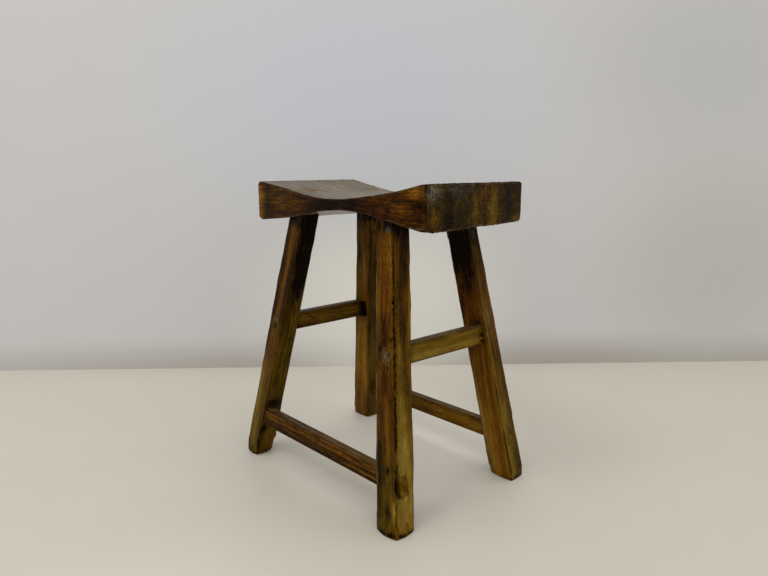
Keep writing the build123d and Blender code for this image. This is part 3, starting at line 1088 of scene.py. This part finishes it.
wedges = {}
worn_legs = {leg: copy_of(piece) for leg, piece in legs.items()}
for leg, piece in legs.items():
    cut_away(seat, add_leg_tenon(leg, clearance=FIT))
    tenon = add_leg_tenon(leg)
    slice_off(tenon, *top_plane(leg))
    cut_away(tenon, add_wedge(leg, "slot", clearance=FIT))
    add_to(piece, tenon)
    wedges[leg] = add_wedge(leg, "wedge_slip_" + leg)
    slice_off(wedges[leg], *top_plane(leg))
    for rail, facts in RAILS.items():
        if leg in facts["legs"]:
            cut_away(piece, add_rail_bar("mortise", rail, RAIL_TENON_THICKNESS, -RAIL_REACH,
                                         -RAIL_REACH, clearance=RAIL_FIT))
for rail, piece in rails.items():
    tenons = add_rail_bar("tenons", rail, RAIL_TENON_THICKNESS, -RAIL_REACH, -RAIL_REACH)
    cut_across(tenons, lambda edge: 10 * MM < edge.calc_length() < 40 * MM, TENON_RINGS)
    start, end = rail_line(rail)
    length = (end - start).length / MM
    for leg, insets in zip(RAILS[rail]["legs"],
                           ((-OVERHANG_REACH, length), (length, -OVERHANG_REACH))):
        overhang = add_rail_bar("overhang", rail, OVERHANG_THICKNESS, *insets,
                                clearance=OVERHANG_CLEARANCE)
        cut_away(overhang, copy_of(worn_legs[leg]))
        cut_away(tenons, overhang)
    add_to(piece, tenons)
for piece in worn_legs.values():
    bpy.data.objects.remove(piece)
print("joints:", len(legs), "through the seat,", 2 * len(rails), "through the legs")

# %% [markdown]
# Two mortises were chopped wider than their tenons: where the front rail comes out of the
# nearest leg, and where the left rail enters the back leg. Beside each tenon a dark slot stays
# open. A plain block at the leg's face cuts it.

# %% Open slots
OPEN_SLOT_DEPTH = 14.0
FRONT_SLOT_WIDTH, LEFT_SLOT_WIDTH = 6.0, 15.0
SLOT_OVERLAP = 3.0


def open_slot(rail, axis, side, slot_width, slot_side):
    """Cut a slot beside a rail's last tenon, in the leg face that looks along an axis."""
    leg = RAILS[rail]["legs"][1]
    centre = rail_line(rail)[1]
    reach = OPEN_SLOT_DEPTH * 2
    width = slot_width + SLOT_OVERLAP
    size = [width * MM, width * MM]
    size[axis] = reach * MM
    face = leg_point(leg, centre.z / MM)[axis] + side * leg_size(leg, centre.z / MM)[axis] / 2
    centre[axis] = face - side * (OPEN_SLOT_DEPTH - reach / 2) * MM
    centre[1 - axis] += slot_side * (RAIL_TENON_THICKNESS / 2 - SLOT_OVERLAP + width / 2) * MM
    half_depth = Vector((0, 0, RAILS[rail]["depths"][1] / 2 * MM))
    block = add_bar("slot_block", centre - half_depth, size, centre + half_depth, size)
    make_dense(block, 4)
    cut_away(legs[leg], block)


open_slot("front", axis=0, side=1, slot_width=FRONT_SLOT_WIDTH, slot_side=-1)
open_slot("left", axis=1, side=-1, slot_width=LEFT_SLOT_WIDTH, slot_side=1)
print("slots are", FRONT_SLOT_WIDTH, "and", LEFT_SLOT_WIDTH, "mm wide")

# %% [markdown]
# The nearest leg has split along its front arris, in several runs, and the seat's right end has
# one upright drying crack. The feet of the left and right legs have short ones. The front rail
# was split from the log and not planed, so long furrows run down its face.

# %% Cracks and holes
INTO_ARRIS = Vector((-1, 1, 0))


def leg_arris(leg, level, inset=1.0):
    """A point on the leg's arris between its front and right faces, a little inside."""
    width, depth = leg_size(leg, level)
    return leg_point(leg, level) + Vector((width / 2 - inset * MM, inset * MM - depth / 2, 0))


ARRIS_CRACKS = [("front_right", 404, 345, 1.6), ("front_right", 350, 262, 2.9),
                ("front_right", 268, 205, 1.9), ("front_right", 214, 118, 2.4),
                ("front_right", 56, 12, 1.3), ("front_left", 58, 6, 1.6),
                ("back_right", 92, 22, 1.3), ("back_right", 160, 128, 1.1)]
for seed, (leg, top, bottom, width) in enumerate(ARRIS_CRACKS):
    crack(legs[leg], leg_arris(leg, top), leg_arris(leg, bottom), INTO_ARRIS, width, 4.0, seed,
          stations=int((top - bottom) / 3))
crack(seat, at(200, 16, 487), at(200, 18.5, 436), Vector((-1, 0, 0)), 1.3, 4.0, seed=21)

FURROWS = [(10.5, 4, 326, 0.9), (6.0, 10, 318, 1.1), (1.5, 16, 322, 1.3), (-3.5, 60, 318, 1.2),
           (-8.0, 8, 200, 1.0), (-9.0, 190, 322, 1.4)]
front_grain = rail_grain("front")
front_half = RAILS["front"]["thickness"] / 2
for seed, (up, first, last, width) in enumerate(FURROWS):
    ends = [front_grain @ (Vector((up, front_half, along)) * MM) for along in (first, last)]
    crack(rails["front"], *ends, -front_grain.col[1].xyz, width, 1.1, seed + 40, stations=30)

NEAR_HOLES = [((2.9, -18, 403), (0, 1, 0)), ((2.8, -18, 389), (0, 1, 0)),
              ((10.6, -18.5, 89), (0, 1, 0)), ((-9.4, -18.6, 126), (0, 1, 0)),
              ((20.5, 2.0, 150), (-1, 0, 0))]
RIGHT_HOLES = [((23.3, -8.5, 115), (-1, 0, 0)), ((22.8, -9.5, 196), (-1, 0, 0))]
drill_holes(legs["front_right"], leg_grain("front_right"), NEAR_HOLES)
drill_holes(legs["back_right"], leg_grain("back_right"), RIGHT_HOLES)
print("near leg faces:", len(legs["front_right"].data.polygons))

# %% [markdown]
# ## Grain, marks and colours
# Each piece is told where in the tree it was cut. The seat's heart lies far from it, so its
# rings are nearly straight in the end grain, as they are on the real plank. Then come the
# strokes, each with its kind, its middle and its reach in millimetres, its strength and maybe a
# facing. For the seat they are placed from the middle of its footprint; for a leg or a rail
# along its own run, where Z is the way along it.
#
# The export thins a mesh of more than 200,000 triangles, so the seat is thinned a little here,
# before it gets its colours.

# %% Seat colours
UP, DOWN = (0, 0, 1), (0, 0, -1)
TO_FRONT, TO_BACK, TO_RIGHT, TO_LEFT = (0, -1, 0), (0, 1, 0), (1, 0, 0), (-1, 0, 0)
SEAT_TRIANGLES = 190_000
seat.data.calc_loop_triangles()
apply_modifier(seat, "DECIMATE", ratio=SEAT_TRIANGLES / len(seat.data.loop_triangles))
seat_frame = Matrix.Translation(at(0, 0, 0))
remember_grain(seat, seat_grain, heart=(-330, -30, 0))
lay_strokes(seat, seat_frame, [
    ("wax", (0, 0, 490), (400, 400, 60), 1.0, UP),
    # The top's worn grey and lighter tone are partly a painted sheen, the room seen at a grazing
    # angle.
    ("grey", (0, 0, 490), (400, 400, 60), 0.34, UP),
    ("tone", (0, 0, 490), (400, 400, 60), 0.32, UP),
    ("hue", (0, 0, 490), (400, 400, 60), 0.55, UP),
    ("calm", (0, 0, 490), (400, 400, 60), 0.5, UP),
    ("wax", (0, 0, 450), (400, 400, 40), 1.0, DOWN),
    # The underside's grey and lighter tone are a painted reflection of the floor over brown wood.
    ("grey", (0, 0, 450), (400, 400, 40), 0.40, DOWN),
    ("tone", (0, 0, 450), (400, 400, 40), 0.30, DOWN),
    ("hue", (0, 0, 450), (400, 400, 40), 0.5, DOWN),
    ("grime", (-60, -100, 480), (60, 9, 8), 0.5, UP),
    ("tone", (0, -112, 466), (400, 20, 80), -0.035, TO_FRONT),
    ("tone", (-194, -112, 465), (12, 20, 60), 0.46, TO_FRONT),
    ("hue", (-194, -112, 465), (12, 20, 60), -0.4, TO_FRONT),
    ("grime", (150, -112, 448), (45, 20, 9), 0.5, TO_FRONT),
    ("grime", (-168, -112, 465), (5, 20, 30), 0.35, TO_FRONT),
    ("tone", (-130, -112, 467), (28, 20, 40), 0.10, TO_FRONT),
    ("grime", (-15, -112, 464), (40, 20, 16), 0.9, TO_FRONT),
    ("grime", (50, -112, 466), (36, 20, 14), 0.8, TO_FRONT),
    ("hue", (0, -112, 466), (90, 20, 40), -0.5, TO_FRONT),
    ("hue", (120, -112, 460), (60, 20, 40), -0.5, TO_FRONT),
    ("tone", (150, -112, 474), (22, 20, 12), 0.10, TO_FRONT),
    ("grime", (127, -112, 457), (7, 20, 8), 1.0, TO_FRONT),
    ("tone", (182, -112, 490), (18, 20, 9), 0.40, TO_FRONT),
    ("grime", (185, -112, 470), (16, 20, 11), 0.7, TO_FRONT),
    ("hue", (185, -112, 466), (20, 20, 16), -0.5, TO_FRONT),
    ("grime", (200, -112, 443), (6, 10, 6), 1.0),
    ("grey", (200, -101, 489), (20, 11, 12), 0.5, TO_RIGHT),
    ("tone", (200, -96, 455), (20, 7, 22), 0.26, TO_RIGHT),
    ("hue", (200, 0, 470), (20, 200, 80), 0.45, TO_RIGHT),
    ("tone", (200, 20, 470), (20, 120, 80), -0.035, TO_RIGHT),
    ("grime", (200, -55, 462), (20, 30, 60), 0.50, TO_RIGHT),
    ("grime", (200, -66, 445), (20, 14, 14), 0.50, TO_RIGHT),
    ("grey", (200, -50, 492), (20, 34, 10), 0.2, TO_RIGHT),
    ("tone", (200, -4, 465), (20, 13, 30), 0.24, TO_RIGHT),
    ("hue", (200, 14, 480), (20, 6, 24), -0.9, TO_RIGHT),
    ("tone", (200, 36, 462), (20, 12, 40), 0.26, TO_RIGHT),
    ("grime", (200, 80, 468), (20, 26, 60), 0.65, TO_RIGHT),
    ("tone", (200, 100, 443), (20, 12, 8), 0.3, TO_RIGHT),
    ("grime", (200, 0, 505), (8, 200, 6), 0.7),
    ("hue", (-200, 0, 470), (20, 200, 80), 0.4, TO_LEFT),
    ("grime", (-200, -40, 465), (20, 40, 40), 0.4, TO_LEFT),
    ("grey", (-200, 60, 482), (20, 50, 20), 0.3, TO_LEFT),
    ("grime", (0, 112, 466), (90, 20, 16), 0.6, TO_BACK),
    ("tone", (-120, 112, 470), (40, 20, 30), 0.10, TO_BACK),
])
finish_piece(seat, "seat", plank_elm)

# %% Leg colours
HEARTS = {"front_right": (-35, 28, 0.0), "front_left": (-47, 28, 0.4),
          "back_right": (-59, 28, 0.8), "back_left": (-71, 28, 1.2)}
LEG_STROKES = {
    "front_right": [
        ("tone", (0, -20, 395), (14, 8, 60), 0.20, TO_FRONT),
        ("hue", (0, -20, 330), (30, 8, 160), -0.4, TO_FRONT),
        ("grey", (7, -20, 440), (5, 8, 4), 1.1, TO_FRONT),
        ("grime", (21, -19, 300), (4, 5, 90), 0.6),
        ("grime", (20, -18, 375), (3, 4, 50), 0.8),
        ("grime", (20, -19, 170), (4, 5, 60), 0.5),
        ("grime", (14, -19, 281), (7, 8, 3), 0.9, TO_FRONT),
        ("grey", (-4, -19, 262), (5, 8, 5), 0.4, TO_FRONT),
        ("grime", (-9, -19, 266), (3, 8, 7), 0.8, TO_FRONT),
        ("grime", (9, -19, 247), (3, 8, 8), 0.6, TO_FRONT),
        ("grime", (4, -19, 92), (7, 8, 8), 0.8, TO_FRONT),
        ("grime", (3, -19, 33), (7, 8, 9), 0.8, TO_FRONT),
        ("grime", (-15, -19, 60), (7, 8, 70), 0.6, TO_FRONT),
        ("hue", (0, -20, 40), (40, 8, 70), 0.8, TO_FRONT),
        ("tone", (17, -19, 36), (5, 8, 14), 0.40, TO_FRONT),
        # Painted contact shadow with dirt along the foot's front rim.
        ("grime", (0, -20, 3), (40, 8, 5), 0.4),
        ("grime", (22, 3, 385), (8, 7, 30), 1.0, TO_RIGHT),
        # Painted shade with dirt at the top of the right face, under the seat.
        ("grime", (22, -5, 428), (8, 30, 22), 0.7, TO_RIGHT),
        ("hue", (22, 0, 420), (8, 30, 50), -0.6, TO_RIGHT),
        ("tone", (20, 14, 330), (8, 5, 80), 0.16, TO_RIGHT),
        ("tone", (22, -4, 300), (8, 14, 80), -0.08, TO_RIGHT),
        ("hue", (22, 0, 130), (8, 30, 200), 0.5, TO_RIGHT),
        ("tone", (22, 0, 100), (8, 30, 140), 0.32, TO_RIGHT),
        # Painted shade in the open slot beside the front rail's tenon.
        ("grime", (11, -12.3, 71), (8, 3, 18), 4.0),
        ("hue", (14, -19, 45), (5, 8, 40), -0.9, TO_FRONT),
        ("grime", (21, -17, 72), (5, 2.5, 15), 1.3),
        ("grime", (21, -15, 95), (3, 2, 9), 1.2),
        ("grime", (21, -9, 55), (3, 8, 3), 1.0, TO_RIGHT),
    ],
    "front_left": [
        ("tone", (0, -20, 340), (40, 8, 120), -0.12, TO_FRONT),
        ("tone", (1, -20, 340), (6, 8, 120), 0.14, TO_FRONT),
        ("grime", (-12, -20, 380), (8, 8, 90), 0.4, TO_FRONT),
        ("hue", (2, -19, 340), (10, 8, 120), -0.4, TO_FRONT),
        ("grime", (15, -19, 370), (4, 8, 110), 0.7, TO_FRONT),
        ("hue", (0, -20, 80), (40, 8, 120), 0.6, TO_FRONT),
        ("tone", (-6, -20, 90), (12, 8, 110), 0.16, TO_FRONT),
        # Painted shade with dirt on the inner face, darker towards the seat.
        ("grime", (20, 0, 420), (8, 30, 80), 2.4, TO_RIGHT),
        ("grime", (20, 0, 330), (8, 14, 50), 0.7, TO_RIGHT),
        ("hue", (20, 0, 200), (8, 30, 160), 0.6, TO_RIGHT),
        # Painted shade above and below the front rail's end, in the wide mortise.
        ("grime", (18, -3, 105), (8, 13, 9), 1.5),
        ("grime", (18, -12, 57), (8, 8, 6), 1.4),
        ("grime", (17, -19, 30), (4, 5, 28), 0.9),
        # Dirt and a painted contact shadow, darker towards the floor.
        ("grime", (0, 0, 6), (60, 60, 12), 0.5),
    ],
    "back_right": [
        # Painted shade with dirt at the top of the front face, which looks in under the seat.
        ("grime", (0, -14, 420), (40, 8, 50), 2.4, TO_FRONT),
        ("grime", (8, -14, 355), (14, 8, 30), 0.8, TO_FRONT),
        ("hue", (0, -15, 310), (40, 8, 90), -0.5, TO_FRONT),
        ("grime", (-9, -15, 338), (6, 8, 4), 0.7, TO_FRONT),
        ("grime", (10, -15, 275), (12, 8, 7), 0.8, TO_FRONT),
        ("tone", (0, -16, 80), (40, 8, 120), 0.22, TO_FRONT),
        ("tone", (0, -16, 60), (40, 8, 80), 0.04, TO_FRONT),
        # Painted shade with dirt at the top of the right face, under the seat, with a darker tone
        # too.
        ("grime", (22, 0, 430), (8, 40, 30), 1.1, TO_RIGHT),
        ("tone", (22, 0, 390), (8, 40, 50), -0.12, TO_RIGHT),
        ("tone", (22, 0, 340), (8, 12, 60), 0.08, TO_RIGHT),
        ("grey", (22, -3, 277), (8, 8, 20), 0.15, TO_RIGHT),
        ("tone", (24, 0, 60), (8, 40, 80), 0.20, TO_RIGHT),
        ("hue", (24, 0, 60), (8, 40, 140), 0.6, TO_RIGHT),
    ],
    "back_left": [
        ("tone", (0, -20, 130), (40, 8, 110), 0.32, TO_FRONT),
        ("tone", (0, -20, 330), (40, 8, 80), 0.10, TO_FRONT),
        ("grime", (-8, -20, 366), (6, 8, 14), 0.7, TO_FRONT),
        # Painted shade with dirt at the top of the front face, under the seat.
        ("grime", (-2, -20, 430), (12, 8, 30), 0.6, TO_FRONT),
        ("grime", (7, -20, 250), (8, 8, 18), 0.8, TO_FRONT),
        ("hue", (14, -20, 262), (8, 8, 24), -0.8, TO_FRONT),
        # Painted shade in the gap where the left rail's tenon enters.
        ("grime", (-8, -8, 249), (14, 9, 20), 3.0),
        ("hue", (20, 0, 200), (8, 40, 260), 0.6, TO_RIGHT),
        # Painted shade with dirt on the upper inner face.
        ("grime", (20, 0, 380), (8, 40, 100), 0.5, TO_RIGHT),
    ],
}
LEG_COMMON = [
    ("calm", (0, 0, 230), (60, 60, 400), 0.35),
    ("calm", (0, 0, 60), (60, 60, 130), 0.45),
    # Painted shade with dirt: a contact shadow at the foot, and shade under the seat at the head.
    ("grime", (0, 0, 0), (60, 60, 3), 1.0),
    ("grime", (0, 0, 446), (60, 60, 12), 1.1),
    # The tenon tops get worn grey and a lighter tone, partly a painted sheen as on the seat's
    # top.
    ("grey", (0, 0, 486), (60, 60, 14), 0.8),
    ("tone", (0, 0, 486), (60, 60, 14), 0.4),
    # A painted highlight: a pale grey line down each leg's left arris.
    ("grey", (-20, -19, 250), (2.5, 3, 400), 0.8),
]
for leg, piece in legs.items():
    grain = leg_grain(leg)
    remember_grain(piece, grain, heart=HEARTS[leg])
    lay_strokes(piece, grain, LEG_COMMON + LEG_STROKES[leg])
    finish_piece(piece, "leg_" + leg, leg_elm)

# %% [markdown]
# A rail's X is up and its Y looks outwards. All rails are dirty beside their shoulders, and their
# tenons' ends are end grain, which is quieter than the streaks of the faces.

# %% Rail colours
TO_OUTSIDE = (0, 1, 0)
RAIL_UP = (1, 0, 0)
RAIL_STROKES = {
    "front": [
        ("grime", (-6, 9, 205), (6, 6, 14), 0.8, TO_OUTSIDE),
        ("grime", (-7, 9, 240), (5, 6, 26), 0.5, TO_OUTSIDE),
        ("grime", (-15, 9, 170), (4, 8, 200), 0.5),
        ("hue", (0, 0, 375), (60, 60, 20), 0.9),
        ("tone", (0, 0, 375), (60, 60, 20), 0.30),
    ],
    "back": [
        ("tone", (0, 9, 220), (40, 8, 160), 0.06, TO_OUTSIDE),
        ("calm", (0, 0, 170), (60, 60, 400), 0.4),
        ("grime", (-15, 9, 170), (4, 8, 200), 0.6),
    ],
    "right": [
        ("tone", (0, 9, 100), (40, 8, 200), 0.20, TO_OUTSIDE),
        ("calm", (0, 0, 100), (60, 60, 300), 0.75),
        ("hue", (0, 9, 100), (40, 8, 200), 0.6, TO_OUTSIDE),
        ("grime", (-16, 9, 100), (3, 8, 200), 0.5),
        ("grey", (3, 0, -22), (7, 5, 10), 0.55),
        ("grime", (-13, 0, -20), (5, 9, 8), 0.9),
        ("grime", (6, 4, -20), (3, 3, 8), 0.9),
    ],
    "left": [
        ("hue", (0, 10, 100), (40, 8, 200), 0.15, TO_OUTSIDE),
        ("grime", (0, 10, 100), (40, 8, 200), 0.12, TO_OUTSIDE),
        ("calm", (0, 0, 100), (60, 60, 300), 0.3),
        ("grime", (-15, 10, 100), (5, 8, 200), 0.7),
        ("grime", (2, 10, 180), (20, 8, 8), 0.5, TO_OUTSIDE),
        ("tone", (0, 0, -20), (60, 60, 12), -0.12),
        ("grime", (-2, 0, -20), (6, 5, 8), 1.3),
        ("grey", (8, 0, -20), (4, 8, 8), 0.5),
    ],
}
for number, (rail, piece) in enumerate(rails.items()):
    grain = rail_grain(rail)
    remember_grain(piece, grain, heart=(30 + 10 * number, -25, 0.5 + 0.3 * number))
    start, end = rail_line(rail)
    length = (end - start).length / MM
    ends = [("grime", (0, 0, place), (60, 60, 9), 0.9) for place in (16, length - 16)]
    ends += [("calm", (0, 0, place), (60, 60, 20), 1.1) for place in (-28, length + 28)]
    ends += [("hue", (0, 0, place), (60, 60, 14), 0.3) for place in (-22, length + 22)]
    # The rails' tops get worn grey, partly a painted sheen where they are seen at a grazing
    # angle, and some dirt.
    top = [("grey", (16, 0, length / 2), (6, 60, 400), 0.25, RAIL_UP)]
    top += [("grime", (16, 0, length / 2), (6, 60, 400), 0.2, RAIL_UP)]
    lay_strokes(piece, grain, ends + top + RAIL_STROKES[rail])
    wood = split_elm if rail == "front" else rail_elm
    finish_piece(piece, "stretcher_" + rail, wood)

# %% [markdown]
# The wedges were cut from scrap and driven in with the grain upright. They share the tenon tops'
# worn grey and painted sheen.

# %% Wedge colours
for leg, piece in wedges.items():
    bevel(piece, None, width=0.3, segments=1)
    make_dense(piece, 2)
    grain = leg_grain(leg)
    remember_grain(piece, grain, heart=(60, 40, 0.2))
    lay_strokes(piece, grain, LEG_COMMON)
    finish_piece(piece, "wedge_" + leg, rail_elm)

# %% [markdown]
# ## Floor, wall and light
# The stool stands on a pale floor in front of a pale wall. Both get the tones of their own
# paint, so that no extra light is needed to make them pale, and the floor takes the shadows.
# Wide soft patches of painted light and shade lie on both: lighter pools on the floor under and
# in front of the stool, a lighter patch on the wall behind it, and darker ones along the wall's
# foot and to its right.

# %% Matt paint
def make_matt(name, first, second, roughness, patches):
    """Matt paint between two tones, with soft patches of painted light and shade, each with its
    middle and its reach in metres on the surface, and its colour."""
    material = bpy.data.materials.new(name)
    tree = new_tree(material)
    place = add_node(tree, "TexCoord", output="Object")
    cloud = add_node(tree, "TexNoise", {"Vector": place, "Scale": 5.0, "Detail": 6.0,
                                        "Roughness": 0.6})
    layers = [(cloud, second)]
    for middle, reach, patch in patches:
        away = add_node(tree, "VectorMath", {0: place, 1: (*middle, 0)}, operation="SUBTRACT")
        share = add_node(tree, "VectorMath", {0: away, 1: (*reach, 1)}, operation="DIVIDE")
        length = add_node(tree, "VectorMath", {0: share}, output="Value", operation="LENGTH")
        fade = add_node(tree, "MapRange", {"Value": length, "To Min": 1.0, "To Max": 0.0},
                        interpolation_type="SMOOTHERSTEP")
        layers.append((fade, patch))
    colour = lay_over(tree, linear(first), layers)
    paint = add_node(tree, "BsdfPrincipled", {"Base Color": colour, "Roughness": roughness})

    # The camera looks through its back, so that the stool can be seen from behind and below
    seen = add_node(tree, "LightPath", output="Is Camera Ray")
    back = add_node(tree, "NewGeometry", output="Backfacing")
    open_side = add_node(tree, "Math", {0: seen, 1: back}, operation="MULTIPLY")
    clear = add_node(tree, "BsdfTransparent")
    shader = add_node(tree, "MixShader", {0: open_side, 1: paint, 2: clear})
    add_node(tree, "OutputMaterial", {"Surface": shader})
    return material


# %% Floor and wall
# Painted light: lighter pools on the floor under the stool and in front of it.
FLOOR_PAINTED_LIGHT = [((-0.07, 0.12), (0.36, 0.36), "#e6e1d5"),
                 ((0.30, -0.50), (0.60, 0.30), "#dcd8ca")]
# Painted shade and light on the wall: a darker band along its foot, a lighter patch behind the
# stool, a cooler one above it and darker ones to the right.
WALL_PAINTED_LIGHT_AND_SHADE = [((0.50, -3.905), (3.40, 0.12), "#ada8a1"),
                ((-0.04, -3.72), (0.48, 0.40), "#eae9e1"),
                ((-0.10, -3.20), (0.80, 0.50), "#c8ccd5"),
                ((0.86, -3.60), (0.50, 0.50), "#bebdb9"),
                ((0.80, -3.10), (0.60, 0.45), "#bfbfbf")]
STAGE_SIZE = 8.0
WALL_PLACE = Vector((-0.350, 0.398, 3.9))
WALL_TURN = math.radians(47.8)


def add_stage(name, place, turn, paint):
    """A large plane behind or under the stool, which is no part of it."""
    deselect_all()
    bpy.ops.mesh.primitive_plane_add(size=STAGE_SIZE, location=place, rotation=turn)
    plane = bpy.context.active_object
    plane.name = name
    plane.data.materials.append(paint)
    print(name, "at", [round(part, 2) for part in place])


floor_paint = make_matt("floor_paint", "#cec8bc", "#d6d0c4", 0.45, FLOOR_PAINTED_LIGHT)
wall_paint = make_matt("wall_paint", "#cac9c9", "#cecdce", 0.8, WALL_PAINTED_LIGHT_AND_SHADE)
add_stage("pale_floor", (0, 0, 0), (0, 0, 0), floor_paint)
add_stage("pale_wall", WALL_PLACE, (math.pi / 2, 0, WALL_TURN), wall_paint)


# %% [markdown]
# The room is bright all round, and a pool of light is painted on the floor under the seat, so it
# is nearly as light as the rest.
# Two panel lamps under the ceiling give each low rail its two soft shadows.


# %% Light
ROOM_COLOUR, ROOM_STRENGTH = "#f6f5f2", 1.09


def add_panel(name, place, size, power):
    """A square panel lamp, in metres and watts, that faces the stool's foot."""
    deselect_all()
    bpy.ops.object.light_add(type="AREA", location=place)
    panel = bpy.context.active_object
    panel.name = name
    panel.rotation_euler = (-Vector(place)).to_track_quat("-Z", "Y").to_euler()
    panel.data.size = size
    panel.data.energy = power
    print(name, "with", power, "W")


add_panel("front_light", place=(-0.36, -1.8, 3.0), size=0.9, power=12)
add_panel("ceiling_light", place=(0.0, 0.6, 3.0), size=1.1, power=8)
world = bpy.data.worlds.new("room")
world.use_nodes = True
bpy.context.scene.world = world
room = world.node_tree.nodes["Background"]
room.inputs["Color"].default_value = linear(ROOM_COLOUR)
room.inputs["Strength"].default_value = ROOM_STRENGTH
